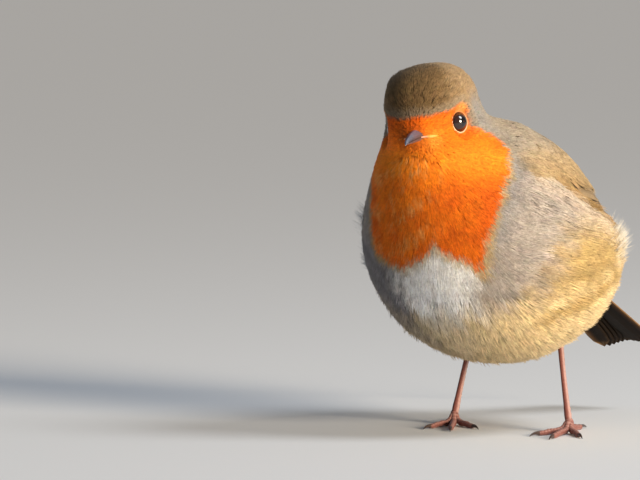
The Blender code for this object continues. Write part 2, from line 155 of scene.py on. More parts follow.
def surface_along(form, start, way, far, steps=70):
    """Where rays last leave the form: marched inwards from far, then the crossing halved sixteen times."""
    inner, outer = np.zeros(start.shape[:-1]), np.full(start.shape[:-1], far)
    met = np.zeros(start.shape[:-1], bool)
    marks = np.linspace(far, 0, steps)
    for outside, inside in zip(marks[:-1], marks[1:]):
        first = (form(start + way * inside) < 0) & ~met
        inner[first], outer[first] = inside, outside
        met |= first
    for _ in range(16):
        middle = (inner + outer) / 2
        within = form(start + way * middle[..., None]) < 0
        inner, outer = np.where(within, middle, inner), np.where(within, outer, middle)
    return start + way * inner[..., None]


SKIN_ROWS, SKIN_COLUMNS = 230, 210


def body_grid(rows, columns, cap=0.26, shaft=0.26):
    """Rays that fan over the top of a core line from head to trunk, stand square to it, and fan in below."""
    axis = unit(HEAD - TRUNK)
    side = unit(np.array([1.0, 0, 0]) - axis * axis[0])
    fore = np.cross(axis, side)
    share = np.linspace(0, 1, rows)
    under = cap + shaft
    tilt = np.where(share < cap, share / cap, 1 + np.clip((share - under) / (1 - under), 0, 1)) * np.pi / 2
    along = np.clip((share - cap) / shaft, 0, 1)
    round_it = np.arange(columns) / columns * 2 * np.pi
    rim = side * np.cos(round_it)[:, None] + fore * np.sin(round_it)[:, None]
    way = axis * np.cos(tilt)[:, None, None] + rim * np.sin(tilt)[:, None, None]
    start = np.broadcast_to((HEAD + (TRUNK - HEAD) * along[:, None])[:, None], way.shape)
    return surface_along(plumage, start, way, far=70)


coat_tips = body_grid(SKIN_ROWS, SKIN_COLUMNS)
coat_tips[0], coat_tips[-1] = coat_tips[0].mean(0), coat_tips[-1].mean(0)
coat_way = outward(plumage, coat_tips)

# The wings' map: a station back along the trunk's long axis, and an angle round it from straight up
AXIS_START = np.array([0.0, -20.0, 57.0])
AXIS_WAY = unit(np.array([0.0, 66.0, -21.0]))
AXIS_UP = np.cross([1.0, 0.0, 0.0], AXIS_WAY)


def on_wing_map(p):
    """Station along the trunk's axis, and the angle round it in degrees."""
    q = p - AXIS_START
    return q @ AXIS_WAY, np.degrees(np.arctan2(np.abs(q[..., 0]), q @ AXIS_UP))


BILL_ROOT = np.array([0.0, -16.0, -4.7])  # in the head's own axes


def head_bearing(p):
    """Degrees round the head from the bill, the height in the head's own axes, and the distance from the
    bill's root."""
    q = (p - HEAD) @ HEAD_TURN
    bill = np.linalg.norm(q - BILL_ROOT, axis=-1)
    return np.degrees(np.arctan2(np.abs(q[..., 0]), -q[..., 1])), q[..., 2], bill


def ripples(p, size, seed):
    """Smooth unevenness between -1 and 1: the mean of seven sine waves of about that size, in seeded
    directions."""
    rng = np.random.RandomState(seed)
    waves = unit(rng.normal(size=(7, 3))) * (2 * np.pi / size) * rng.uniform(0.7, 1.4, (7, 1))
    return np.sin(p @ waves.T + rng.uniform(0, 2 * np.pi, 7)).sum(-1) / 3.5


def rgb(red, green, blue):
    """A colour in linear light."""
    return np.array([red, green, blue])


ORANGE = rgb(0.94, 0.228, 0.008)
ORANGE_DEEP = rgb(0.76, 0.135, 0.006)
ORANGE_PALE_AND_SUNLIT = rgb(1.0, 0.27, 0.016)
CROWN = rgb(0.160, 0.094, 0.038)
CROWN_SIDE = rgb(0.31, 0.205, 0.108)
NAPE = rgb(0.320, 0.258, 0.188)
MANTLE = rgb(0.40, 0.280, 0.148)
BORDER_GREY = rgb(0.27, 0.25, 0.24)
BELLY_WHITE = rgb(0.97, 0.94, 0.90)
FLANK_PALE = rgb(0.365, 0.310, 0.265)
FLANK_BUFF = rgb(0.42, 0.285, 0.115)
FLANK_OCHRE = rgb(0.33, 0.205, 0.068)
BELLY_BUFF = rgb(0.78, 0.58, 0.31)
VENT_WHITE = rgb(0.80, 0.70, 0.55)
CREAM = rgb(0.66, 0.52, 0.38)
WING_BEND = rgb(0.13, 0.125, 0.12)
GREY_DOWN_AND_SHADE = rgb(0.20, 0.21, 0.25)
BIB_FRINGE = rgb(0.46, 0.31, 0.11)
NECK_GREY = rgb(0.225, 0.212, 0.200)
FLANK_BAND = rgb(0.41, 0.26, 0.085)
ORANGE_TAN = rgb(0.85, 0.42, 0.12)
BROW = rgb(0.96, 0.46, 0.13)
EAR = rgb(0.40, 0.25, 0.13)
BRISTLES_AND_BILL_SHADOW = rgb(0.16, 0.045, 0.010)
CHIN_HIGHLIGHT = rgb(1.0, 0.38, 0.05)
HEAD_BORDER = rgb(0.30, 0.235, 0.165)
BREAST_TURN = 8  # degrees by which the breast's middle faces left of the middle of the back

# Edges of the robin's markings. Bearings are from the bill, breast angles from the breast's middle.
BIB_LEFT = (
    (46, 50, 53, 57, 61, 64.5, 67, 70, 72, 75, 78), (27.5, 30, 30.5, 31.5, 35.5, 38.5, 41, 44, 46.5, 48.5, 50)
)
BIB_RIGHT = (
    (47.7, 50, 53, 57, 61, 64.5, 67, 70, 72, 75, 78), (30.5, 34.5, 37, 38.5, 39, 39.5, 41, 44, 46.5, 48.5, 50)
)
BIB_HEM = (
    (-37, -32, -24, -17, -9, -5, 0, 2, 4, 6, 10, 16, 21, 26, 31),
    (51, 49.3, 47.6, 47.0, 47.9, 49.1, 50.6, 52.6, 53.2, 52.2, 51, 49.8, 48.4, 46.8, 45.8),
)
FACE_TOP = ((0, 20, 36, 47, 59, 66, 74), (0.2, 0.3, 0.4, 1.3, 2.2, 0.8, -1.5))
FACE_BACK = ((-3, 0.3, 4.4, 5.5, 7.4, 9, 12), (63, 69, 71, 80, 91, 96, 97))


def toward(base, colour, share):
    """The base colour taken that share of the way to another."""
    return base + (colour - base) * share[..., None]


def markings(p):
    """The robin's colours at each place: buff under, olive over, a grey border, and the orange face and
    breast, with some light and shade painted in: shade low on the side away from the sun and under the wing,
    the bill's shadow, a sunlit throat and chin."""
    bearing, height, bill = head_bearing(p)
    station, angle = on_wing_map(p)
    x, y, z = p[..., 0], p[..., 1], p[..., 2]
    facing = np.degrees(np.arctan2(x + 1.0, -(y + 8.0))) - BREAST_TURN
    front = np.abs(facing)
    uneven, fine = ripples(p, 9.0, 3), ripples(p, 2.6, 4)
    slant = np.stack([0.35 * x, 0.30 * y, z + 0.45 * y], -1)
    streaks = ripples(slant, 4.2, 6)
    on_head = step(z, 74, 80)
    # under parts: white at the middle of the belly, pink-white on the upper flank, buff below and behind
    colour = toward(BELLY_WHITE, FLANK_PALE, step(front + 5 * fine + 5 * uneven, 14, 36))
    # grey down showing low on the belly's sides, its bluish grey partly painted shade
    down = ripples(p * np.array([1.0, 1.0, 0.30]), 4.4, 9) + 0.5 * fine
    colour = toward(
        colour, GREY_DOWN_AND_SHADE,
        0.40 * step(down, 0.3, 1.1) * step(-front, -58, -30) * step(-z, -48, -42) * step(z, 24, 32)
    )
    buff = step(front + 0.9 * (48 - z) + 7 * uneven, 54, 88) * step(-z, -64, -50)
    colour = toward(
        colour, FLANK_BUFF * (1 + 0.12 * step(z, 44, 52) + 0.22 * step(-z, -44, -30))[..., None], buff
    )
    colour = toward(
        colour, FLANK_OCHRE, 0.62 * buff * step(streaks + 0.4 * fine, 0.0, 1.0) * step(-z, -52, -43)
    )
    colour = toward(colour, BELLY_BUFF, 0.9 * step(-z + 0.10 * front + 2 * uneven, -36, -26))
    band = np.exp(-(((z - 36.3 - 0.36 * y + 0.8 * uneven) / 2.6) ** 2)) * step(front, 60, 78)
    colour = toward(colour, FLANK_BAND, 0.85 * band)
    colour = toward(colour, VENT_WHITE, step(y - 0.3 * (z - 30), 18, 30) * step(-z, -46, -38))
    # painted shade: the lower belly darker on the side away from the sun
    colour = colour * (1 - 0.14 * step(-facing, -45, -5) * step(-z, -38, -28))[..., None]
    # painted shade: the lower flank away from the sun painted a dark bluish grey
    colour = toward(
        colour, GREY_DOWN_AND_SHADE * 0.62,
        0.76 * step(
            -facing + 6 * down, 13, 38
        ) * step(facing, -96, -66) * step(-z, -58, -50) * step(z, 12, 34)
    )
    # uneven tone over belly and flanks, partly painted light and shade of lifted tufts
    mottled = ripples(p * np.array([1.0, 1.0, 0.55]), 3.0, 15)
    colour = colour * (1 + 0.16 * mottled * step(-z, -72, -60))[..., None]
    # upper parts
    limit = np.interp(station, [-8, 0, 5, 9, 19, 29, 45, 70], [50, 55, 57, 60, 66, 70, 74, 82])
    upper = step(limit - angle + 2 * uneven, -2, 3) * step(station, -10, 0)
    creamy = step(limit - angle, -15, -4) * step(station, -2, 6) * step(facing, 0, 20)
    colour = toward(colour, CREAM, 0.45 * creamy)
    back = toward(MANTLE, NAPE, step(z, 70, 82))
    back = back * (1 - 0.22 * step(uneven + 0.7 * fine, 0.2, 1.2))[..., None]
    # painted shade: the body darker and warmer where it lies under the folded wing
    back = back * (1 - (step(angle, 40, 66) * step(station, 8, 14))[..., None] * [0.20, 0.30, 0.50])
    colour = toward(colour, back, np.maximum(upper, on_head * step(bearing, 60, 100)))
    bend = np.exp(
        -((np.stack([np.abs(x), y, z], -1) - [18.8, -15.5, 73.6]) ** 2 @ [1 / 9.0, 1 / 16.0, 1 / 6.0])
    )
    colour = toward(colour, WING_BEND, 0.55 * bend)
    crown = toward(CROWN, CROWN_SIDE, step(bearing + 8 * fine, 30, 75))
    crown = toward(
        crown, NECK_GREY, 0.95 * step(bearing, 62, 82) * step(-bearing, -150, -115) * step(-height, -6.5, 0.5)
    )
    colour = toward(colour, toward(crown, NAPE, step(bearing, 75, 140) * step(-height, -9, 2)), on_head)
    # how far inside the orange each place is, in millimetres
    in_face = np.minimum(
        np.interp(bearing, *FACE_TOP) - height, (np.interp(-height, *FACE_BACK) - bearing) * 0.21
    )
    bib_side = np.where(facing > 0, np.interp(z, *BIB_LEFT), np.interp(z, *BIB_RIGHT))
    in_bib = np.minimum((bib_side - front) * 0.45, z - np.interp(facing, *BIB_HEM))
    inside = in_bib + (in_face - in_bib) * step(z, 74, 79)
    inside = inside + (0.55 * uneven + 0.45 * fine) * (1 - 0.55 * on_head)
    grey = step(inside, -8.5 + 5.0 * on_head, -2.0 + 1.2 * on_head) * np.maximum(step(z, 50, 56), 0.15)
    border = toward(BORDER_GREY, HEAD_BORDER, on_head)
    colour = toward(colour, border, grey * (0.85 - 0.35 * on_head))
    colour = toward(colour, BIB_FRINGE, 0.7 * step(inside, -3.0, -0.8) * (1 - on_head))
    deep = 0.44 + 0.22 * step(facing, 0, 22) - 0.50 * step(z, 66, 76)
    deep = np.clip(
        deep + (0.6 - 0.4 * step(facing, -8, 12)) * step(-inside, -6, 0) + 0.30 * uneven + 0.18 * fine, 0, 1
    )
    orange = toward(ORANGE, ORANGE_DEEP, deep)
    # the throat and lower face a brighter orange: partly its own paler orange, partly painted sunlight
    orange = toward(orange, ORANGE_PALE_AND_SUNLIT, step(z, 68, 77) * step(-z, -82, -76) * 0.7)
    barred = ripples(p * np.array([1.0, 1.0, 0.22]), 2.2, 12)
    orange = toward(orange, ORANGE_DEEP * 0.62, 0.38 * step(barred, 0.1, 1.1) * step(-z, -76, -62))
    frayed = ripples(p * np.array([1.0, 1.0, 0.20]), 1.7, 21)
    orange = toward(
        orange, ORANGE_TAN, 0.5 * step(frayed, 0.15, 0.9) * step(-facing, -14, 4) * step(-z, -79, -72)
    )
    lit_breast = step(facing, -12, 12) * step(-z, -73, -67)
    orange = orange * (1 - lit_breast[..., None] * [0.13, 0.20, 0.20])
    orange = orange * (1 - on_head[..., None] * [0.08, 0.27, 0.45])
    # dark bristles round the bill's root, with the bill's painted shadow, wider and darker on the side away
    # from the sun
    shaded = x < -1
    orange = toward(
        orange, BRISTLES_AND_BILL_SHADOW,
        (0.60 + 0.28 * shaded) * step(-bill, -4.6 - 2.2 * shaded, -2.0) * (0.45 + 0.55 * (x < 0))
    )
    at_head = (p - HEAD) @ HEAD_TURN
    at_head = np.concatenate([np.abs(at_head[..., :1]), at_head[..., 1:]], -1)
    orange = toward(orange, BROW, 0.80 * near(at_head, (11.3, -6.6, 1.0), 2.3))
    orange = toward(orange, EAR, 0.60 * near(at_head, (13.4, -2.0, -3.0), 2.8))
    # painted highlight: a bright yellow-orange spot on the sunlit side of the chin
    orange = toward(orange, CHIN_HIGHLIGHT, 0.6 * near(p, (6.4, -38.8, 80.0), 2.6))
    return toward(colour, orange, step(inside, -0.9, 0.7))


def coat_depth(p):
    """Depth of the feathers over the skin: shallow at the bill, the eyes and on the head, deep on belly and
    flanks."""
    _, _, bill = head_bearing(p)
    depth = 2.8 - 1.7 * step(p[..., 2], 56, 74)
    depth = np.minimum(depth, 0.35 + 0.45 * step(bill, 2.5, 16) + 1.2 * step(-p[..., 2], -80, -70))
    return np.minimum(depth, 0.5 + 1.4 * step(eye_distance(p), 3.0, 9.0))


eye_solid = np.mean([list(corner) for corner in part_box("eye_left")], 0) * 1000
PLACE = eye_solid - eye_of(1.0)[0]  # from the body's own axes to the row's, in millimetres
MILLIMETRE = 0.001  # in metres
# painted shade: the skin a little darker than the feathers over it, for the under-feathers and the shade
# between tufts
SKIN_DOWN_AND_SHADE = 0.92  # of the colour of the feathers over it


def to_mesh(name, points, triangles, colours=None, bake_map=None, normals=None):
    """A mesh piece from arrays: points in millimetres, triangles, and where given a colour and a way for
    light to fall on each point, and a bake-map place for each corner."""
    points = points.reshape(-1, 3)
    mesh = bpy.data.meshes.new(name)
    mesh.vertices.add(len(points))
    mesh.vertices.foreach_set("co", ((points + PLACE) * MILLIMETRE).astype(np.float32).ravel())
    mesh.loops.add(triangles.size)
    mesh.loops.foreach_set("vertex_index", triangles.astype(np.int32).ravel())
    mesh.polygons.add(len(triangles))
    mesh.polygons.foreach_set("loop_start", np.arange(0, triangles.size, 3, dtype=np.int32))
    mesh.polygons.foreach_set("use_smooth", np.ones(len(triangles), bool))
    if colours is not None:
        shade = mesh.attributes.new("plumage", "FLOAT_COLOR", "POINT")
        shade.data.foreach_set(
            "color", np.c_[colours.reshape(-1, 3), np.ones(len(points))].astype(np.float32).ravel()
        )
    if bake_map is not None:
        layer = mesh.uv_layers.new(name="OFBake")
        layer.data.foreach_set("uv", bake_map.astype(np.float32).ravel())
    if normals is not None:
        soft = mesh.attributes.new("custom_normal", "FLOAT_VECTOR", "POINT")
        soft.data.foreach_set("vector", normals.astype(np.float32).ravel())
    mesh.update()
    mesh.validate()
    made = bpy.data.objects.new(name, mesh)
    bpy.context.scene.collection.objects.link(made)
    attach(made, "root")
    return made


def grid_triangles(rows, columns, wrap=True):
    """Two triangles to each cell of a grid of points, joined round where it wraps."""
    i, j = np.meshgrid(np.arange(rows - 1), np.arange(columns if wrap else columns - 1), indexing="ij")
    k = (j + 1) % columns
    a, b, c, d = i * columns + j, i * columns + k, (i + 1) * columns + k, (i + 1) * columns + j
    return np.stack([np.stack([a, c, b], -1), np.stack([a, d, c], -1)], 2).reshape(-1, 3)


def set_inputs(node, values):
    """Sets a shader node's inputs by name."""
    for name, value in values.items():
        node.inputs[name].default_value = value


def plumage_finish(name, dull, sheen, grain):
    """Feather: the colour laid on each point, broken up by noise, with a soft sheen and a fine barbed
    bump."""
    made = bpy.data.materials.new(name)
    made.use_nodes = True
    nodes, links = made.node_tree.nodes, made.node_tree.links
    shader = nodes["Principled BSDF"]
    set_inputs(
        shader,
        {"Roughness": dull, "Sheen Weight": sheen, "Sheen Roughness": 0.45, "Specular IOR Level": 0.15}
    )
    laid = nodes.new("ShaderNodeAttribute")
    laid.attribute_name = "plumage"
    place = nodes.new("ShaderNodeTexCoord")
    noise = nodes.new("ShaderNodeTexNoise")
    set_inputs(noise, {"Scale": grain, "Detail": 3})
    spread = nodes.new("ShaderNodeMapRange")
    set_inputs(spread, {"From Min": 0.3, "From Max": 0.7, "To Min": 0.86, "To Max": 1.12})
    mix = nodes.new("ShaderNodeMix")
    mix.data_type, mix.blend_type = "RGBA", "MULTIPLY"
    set_inputs(mix, {"Factor": 1.0})
    bump = nodes.new("ShaderNodeBump")
    set_inputs(bump, {"Strength": 0.25, "Distance": 0.0002})
    links.new(place.outputs["Object"], noise.inputs["Vector"])
    links.new(noise.outputs["Fac"], spread.inputs["Value"])
    links.new(laid.outputs["Color"], mix.inputs[6])
    links.new(spread.outputs["Result"], mix.inputs[7])
    links.new(mix.outputs[2], shader.inputs["Base Color"])
    links.new(noise.outputs["Fac"], bump.inputs["Height"])
    links.new(bump.outputs["Normal"], shader.inputs["Normal"])
    return made


skin_points = coat_tips - coat_way * coat_depth(coat_tips)[..., None]
skin_triangles = grid_triangles(SKIN_ROWS, SKIN_COLUMNS)
down_share, round_share = np.linspace(0, 1, SKIN_ROWS), np.arange(SKIN_COLUMNS) / SKIN_COLUMNS
corner_rows, corner_columns = skin_triangles // SKIN_COLUMNS, skin_triangles % SKIN_COLUMNS
corner_round = round_share[corner_columns]
corner_round[(corner_columns == 0) & (corner_columns.max(1, keepdims=True) > 1)] = 1.0  # the seam's far side
skin = to_mesh(
    "skin",
    skin_points,
    skin_triangles,
    markings(coat_tips) * SKIN_DOWN_AND_SHADE,
    np.stack([corner_round, down_share[corner_rows]], -1).reshape(-1, 2),
)
skin.data.materials.append(plumage_finish("downy_skin", 0.9, 0.2, 900))
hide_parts("head", "neck", "trunk")

# ---- Small feathers ----------------------------------------------------------------------------------------
# The contour feathers of head and body. Each tuft is one feather's loose tip: a few fine barbed blades that
# leave the skin together, lie back along the body over the next tufts and draw together at the end. They are
# smallest on the face, longest and softest on the flanks.


def along_skin(v, way):
    """The part of v that is square to the way out, made one long."""
    return unit(v - (v * way).sum(-1, keepdims=True) * way)


def between(ends, share):
    """The place that share of the way from the first of two ends to the other."""
    return ends[0] + (ends[1] - ends[0]) * share


def lie_of_coat(p, way):
    """The way feathers point: back from the bill on the head, down and back on the body, round the eyes."""
    flank = step(np.abs(p[..., 0]), 14, 26) * step(-p[..., 2], -66, -56)
    body = np.stack([p[..., 0] * 0.004, 0.72 + 0.28 * flank, -0.68 + 0.50 * flank], -1)
    head = unit(p - in_head((0, -15.0, -4.0)))
    share = step(p[..., 2], 64, 80)[..., None]
    flow = unit(body) * (1 - share) + head * share
    for side in SIDES.values():
        middle, look = eye_of(side)
        q = p - middle
        q = q - (q @ look)[..., None] * look
        near = np.linalg.norm(q, axis=-1)
        flow = flow + unit(q) * (1.6 * step(-near, -5.5, -2.6) * ((p - middle) @ look > 0))[..., None]
    return along_skin(flow, way)


def grow(seed, count, weight):
    """Tuft roots strewn over the skin by area times a weight: place, way out, and place on the skin's
    unwrap."""
    rng = np.random.RandomState(seed)
    p = coat_tips
    across, down = np.roll(p, -1, 1) - p, np.roll(p, -1, 0) - p
    area = np.linalg.norm(np.cross(across, down), axis=-1)
    area[-1] = 0
    middle = (p + np.roll(p, -1, 1) + np.roll(p, -1, 0)) / 3
    chance = (area * weight(middle)).ravel()
    pick = rng.choice(chance.size, count, p=chance / chance.sum())
    i, j = pick // SKIN_COLUMNS, pick % SKIN_COLUMNS
    a, b = rng.rand(2, count)
    i1, j1 = np.minimum(i + 1, SKIN_ROWS - 1), (j + 1) % SKIN_COLUMNS
    mix = lambda f: (
        f[i, j] * ((1 - a) * (1 - b))[:, None] + f[i, j1] * ((1 - a) * b)[:, None]
        + f[i1, j] * (a * (1 - b))[:, None] + f[i1, j1] * (a * b)[:, None]
    )
    place = np.stack([(j + b) / SKIN_COLUMNS, (i + a) / (SKIN_ROWS - 1)], -1)
    return mix(coat_tips), unit(mix(coat_way)), place


def wing_bed(p):
    """What the folded wings lie on: the coat's form merged with a saddle over the root of the tail."""
    return merge(plumage(p), lobe(p, (0, 36, 37.5), (11, 24, 7), turn(pitch=-TAIL_PITCH)), 6)


BLADE_TRIANGLES = np.array([[0, 1, 3], [0, 3, 2], [0, 2, 1], [4, 3, 1], [4, 2, 3], [4, 1, 2]])
# painted shade and light on each blade: darker at the root where tufts overlap, lighter to the ridge and tip
BLADE_PAINTED_SHADE = np.array([0.82, 0.95, 0.95, 1.0, 1.06])  # root, two sides, ridge, tip
BLADE_PATCH = np.array([[0, -1], [-1, 0], [1, 0], [0, 0.3], [0, 1]]) * 0.0014  # the same on the bake map


def blades(root, way, flow, length, width, depth, bed, lift, tint, place):
    """Closed three-sided blades, pointed at both ends: the root in the skin, the widest ring midway and the
    tip, each where the flow has carried it along the form, at a height over the bed that climbs to a lift."""
    across = np.cross(way, flow)
    middle = root + flow * (length * 0.5)[:, None]
    middle_way = outward(plumage, middle)
    middle = middle + middle_way * (bed + lift * 0.3 - depth * 0.40 - plumage(middle))[:, None]
    tip = root + flow * length[:, None]
    tip_way = outward(plumage, tip)
    tip = tip + tip_way * (bed + lift - plumage(tip))[:, None]
    half = (width / 2)[:, None]
    base = root + way * (bed - depth * 0.95)[:, None]
    points = np.stack(
        [base, middle - across * half, middle + across * half, middle + middle_way * half * 0.7, tip], 1
    )
    lean = across * 0.45
    lit = unit(np.stack([way, middle_way - lean, middle_way + lean, middle_way, tip_way], 1))
    triangles = (np.arange(len(points))[:, None, None] * 5 + BLADE_TRIANGLES).reshape(-1, 3)
    colours = np.clip(tint[:, None] * BLADE_PAINTED_SHADE[None, :, None], 0, 1)
    bake = (place[:, None] + BLADE_PATCH).reshape(-1, 2)[triangles.ravel()]
    return points.reshape(-1, 3), triangles, colours.reshape(-1, 3), bake, lit.reshape(-1, 3)


def under_wing(p):
    """1 where the folded wing hides the body, fading at its upper and lower edge."""
    station, angle = on_wing_map(p)
    upper = np.interp(station, [5, 12, 20, 33, 48, 58, 68, 75], [45, 48, 48, 41, 35, 38, 56, 70])
    lower = np.interp(station, [5, 12, 20, 30, 40, 50, 58, 68, 75], [46, 54, 64, 69, 69, 68, 69, 72, 76])
    return step(angle - upper, -1, 6) * step(lower - angle, -2, 4) * step(station, 8, 15)


def shoulder(station, angle):
    """How much the folded wing swells over its bed where the scapulars and coverts are thickest."""
    return (
        2.0 * step(station, 11, 28) * step(-station, -50, -34) * step(angle, 6, 20) * step(-angle, -76, -50)
    )


def region_weights(p):
    """How much of each coat piece grows at each place, as shares that add to at most one."""
    bearing, height, bill = head_bearing(p)
    station, angle = on_wing_map(p)
    x, y, z = p[..., 0], p[..., 1], p[..., 2]
    head = z + 1.3 * ripples(p, 5.0, 31) > 75.5 + 1.2 * np.maximum(y + 8, 0)
    face = head & (height < 3.5) & (bearing < 82)
    clear = (1 - under_wing(p)) * (eye_distance(p) > 3.0) * (bill > 1.7)
    stump = np.linalg.norm(p - TAIL_ROOT - [0, 1.5, -3.0], axis=-1) > 4.0
    back = ~head & (angle < 58) & (station > -4)
    front = np.degrees(np.arctan2(np.abs(x + 1.0), -(y + 8.0)))
    belly = ~head & ~back & (z < 40)
    breast = ~head & ~back & ~belly & (front < 62)
    flank = ~head & ~back & ~belly & ~breast
    behind = y > 17
    masks = {
        "coat_face": face,
        "coat_crown": head & ~face,
        "coat_throat": breast & (z > 60),
        "coat_breast": breast & (z <= 60),
        "coat_belly": belly & ~behind,
        "coat_flank_left": flank & (x > 0) | (belly & behind & (x > 0)),
        "coat_flank_right": flank & (x <= 0) | (belly & behind & (x <= 0)),
        "coat_mantle": back & (y < 17),
        "coat_rump": back & (y >= 17),
    }
    return {name: mask * clear * stump for name, mask in masks.items()}


BLADES = 6  # in a tuft
# piece: (tufts, length, width, tuft's half width, lift of the tips, seed, slot)
COATS = {
    "coat_face": (4600, 1.75, 0.18, 0.26, 0.07, 11, "breast_orange"),
    "coat_crown": (5000, 3.3, 0.26, 0.45, 0.09, 12, "crown_olive"),
    "coat_throat": (4400, 3.5, 0.22, 0.44, 0.18, 13, "breast_orange"),
    "coat_breast": (4700, 4.3, 0.24, 0.55, 0.24, 14, "breast_orange"),
    "coat_belly": (4700, 5.6, 0.28, 0.74, 0.36, 15, "belly_buff"),
    "coat_flank_left": (5400, 6.4, 0.27, 0.74, 0.36, 16, "belly_buff"),
    "coat_flank_right": (4400, 6.4, 0.30, 0.80, 0.36, 17, "belly_buff"),
    "coat_mantle": (5500, 4.6, 0.28, 0.64, 0.22, 18, "crown_olive"),
    "coat_rump": (2700, 5.2, 0.32, 0.74, 0.24, 19, "crown_olive"),
}
# long loose hairs where the wind lifts the coat: (number, middle, spread, way they blow, lengths, rises,
# width, seed)
PLUMES = {
    "plume_flank": (310, (29.7, 15.2, 50.5), 2.5, (0.0, 0.50, 0.75), (2.8, 4.6), (1.6, 5.0), 0.24, 61),
    "plume_wing": (95, (29.4, 10.4, 53.4), 2.3, (0.0, 0.50, 0.65), (1.8, 3.2), (0.4, 2.1), 0.20, 64),
    "plume_side": (110, (-23.0, -26.5, 57.0), 2.2, (-0.2, 0.1, 0.9), (1.8, 3.4), (0.4, 3.2), 0.19, 62),
    "plume_low": (70, (-24.0, -25.5, 46.0), 1.9, (-0.3, 0.3, 0.6), (1.8, 3.0), (0.3, 1.8), 0.19, 63),
}
PLUME_WHITE = rgb(0.76, 0.70, 0.60)
# painted light: near white for the loose hairs on the side in shade
PLUME_PAINTED_LIGHT = rgb(0.97, 0.97, 0.97)
PUFF = np.array([29.8, 15.5, 48.8])  # where the wind lifts the flank behind the left wing
WIND = np.array([0.0, 0.55, 0.75])
FLANK_EDGE = np.array([31.6, 9.0, 41.5])  # where the coat is pressed flat behind the legs
BROW_CORNER = np.array([-9.6, -34.6, 94.6])  # where the crown is raised
EAR_CORNER = np.array([10.6, -21.5, 91.0])  # and where it is pressed down
feather_soft = plumage_finish("soft_feather", 0.78, 0.08, 1400)

for name, (tufts, length, width, half_tuft, lift, seed, slot) in COATS.items():
    root, way, place = grow(seed, tufts, lambda p: region_weights(p)[name])
    rng = np.random.RandomState(seed + 100)
    flow = lie_of_coat(root, way)
    across = np.cross(way, flow)
    _, _, bill = head_bearing(root)
    station, angle = on_wing_map(root)
    shrink = np.ones(tufts)
    ruffled = np.zeros(tufts)
    if name in ("coat_face", "coat_crown"):
        ruffled = 0.85 * near(root, BROW_CORNER, 3.6) - 0.6 * near(root, EAR_CORNER, 4.0)
        shrink = np.minimum(0.36 + 0.64 * step(bill, 2.0, 13), 0.45 + 0.55 * step(eye_distance(root), 3, 7))
    bed = (
        1.35 * step(angle, 3, 17) * step(-angle, -88, -77) * step(station, -2, 10) * step(-station, -70, -58)
    )
    tuft_length = length * shrink * rng.uniform(0.75, 1.25, tufts)
    tuft_tint = markings(root + flow * (0.6 * tuft_length)[:, None])
    tuft_tint = tuft_tint * (1 + 0.09 * rng.normal(size=(tufts, 1)) + 0.02 * rng.normal(size=(tufts, 3)))
    # large soft patches of tone, partly painted light and shade of clumped tufts
    tuft_tint = tuft_tint * (1 + 0.09 * ripples(root, 4.5, 8) * step(-root[:, 2], -82, -72))[:, None]
    depth = coat_depth(root) * (1 - 0.55 * bed)
    bed, depth = bed + shoulder(station, angle) + ruffled, depth + np.minimum(ruffled, 0.3)
    tuft_lift = lift * shrink * rng.uniform(-1.2, 0.8, tufts)
    # a few tufts stand out of the loose coat, and the wind puffs up the flank behind the wing
    if slot == "belly_buff":
        puffed = near(root, PUFF, 4.2)
        tuft_lift = tuft_lift + (rng.rand(tufts) < 0.07) * rng.uniform(0.4, 1.0, tufts) + 0.7 * puffed
        bed, depth = bed + 1.3 * puffed, depth + 1.1 * puffed
        slack = near(root, FLANK_EDGE, 9.5) * (1 - puffed)
        bed, depth = bed - 1.3 * slack, depth - 0.9 * slack
        flow = flow + 1.8 * puffed[:, None] * WIND
        flow = along_skin(flow, way)
        across = np.cross(way, flow)
        tuft_tint = toward(tuft_tint, PLUME_WHITE, 0.6 * puffed)
    lean = rng.normal(size=tufts) * 0.10
    grown = []
    for spot in np.linspace(-1, 1, BLADES):
        sideways = spot * half_tuft * shrink * rng.uniform(0.8, 1.2, tufts)
        start = (
            root + across * sideways[:, None] + flow * (rng.uniform(-0.8, 0.8, tufts) * half_tuft)[:, None]
        )
        heading = flow + across * (
            lean - 0.45 * sideways / tuft_length + 0.07 * rng.normal(size=tufts)
        )[:, None]
        rise = tuft_lift + 0.08 * shrink * rng.normal(size=tufts)
        heading = along_skin(heading, way)
        long = tuft_length * (1 - 0.18 * spot * spot) * rng.uniform(0.85, 1.15, tufts)
        wide = width * (0.55 + 0.45 * shrink) * rng.uniform(0.75, 1.25, tufts)
        tint = tuft_tint * (1 + 0.10 * rng.normal(size=(tufts, 1)))
        grown.append(blades(start, way, heading, long, wide, depth, bed, rise, tint, place))
    points, triangles, *others = zip(*grown)
    triangles = [faces + blade * len(points[0]) for blade, faces in enumerate(triangles)]
    coat = to_mesh(name, *map(np.concatenate, (points, triangles, *others)))
    coat.data.materials.append(feather_soft)

for name, (number, middle, spread, blown, lengths, rises, width, seed) in PLUMES.items():
    root, way, place = grow(seed, number, lambda p: near(p, middle, spread))
    rng = np.random.RandomState(seed + 100)
    heading = np.asarray(blown) + 0.20 * rng.normal(size=(number, 3))
    heading = along_skin(heading, way)
    tall = rng.rand(number)
    long, rise = between(lengths, rng.rand(number)), between(rises, tall)
    wide = width * rng.uniform(0.7, 1.2, number)
    # the hairs on the shaded right side are painted near white: painted light, as if lit from behind
    white = PLUME_WHITE if middle[0] > 0 else PLUME_PAINTED_LIGHT
    tint = toward(markings(root), white, 0.10 + 0.90 * tall) * (1 + 0.05 * rng.normal(size=(number, 1)))
    hairs = to_mesh(
        name, *blades(root, way, heading, long, wide, np.full(number, 1.2), 0 * tall, rise, tint, place)[:4]
    )
    hairs.data.materials.append(feather_soft)

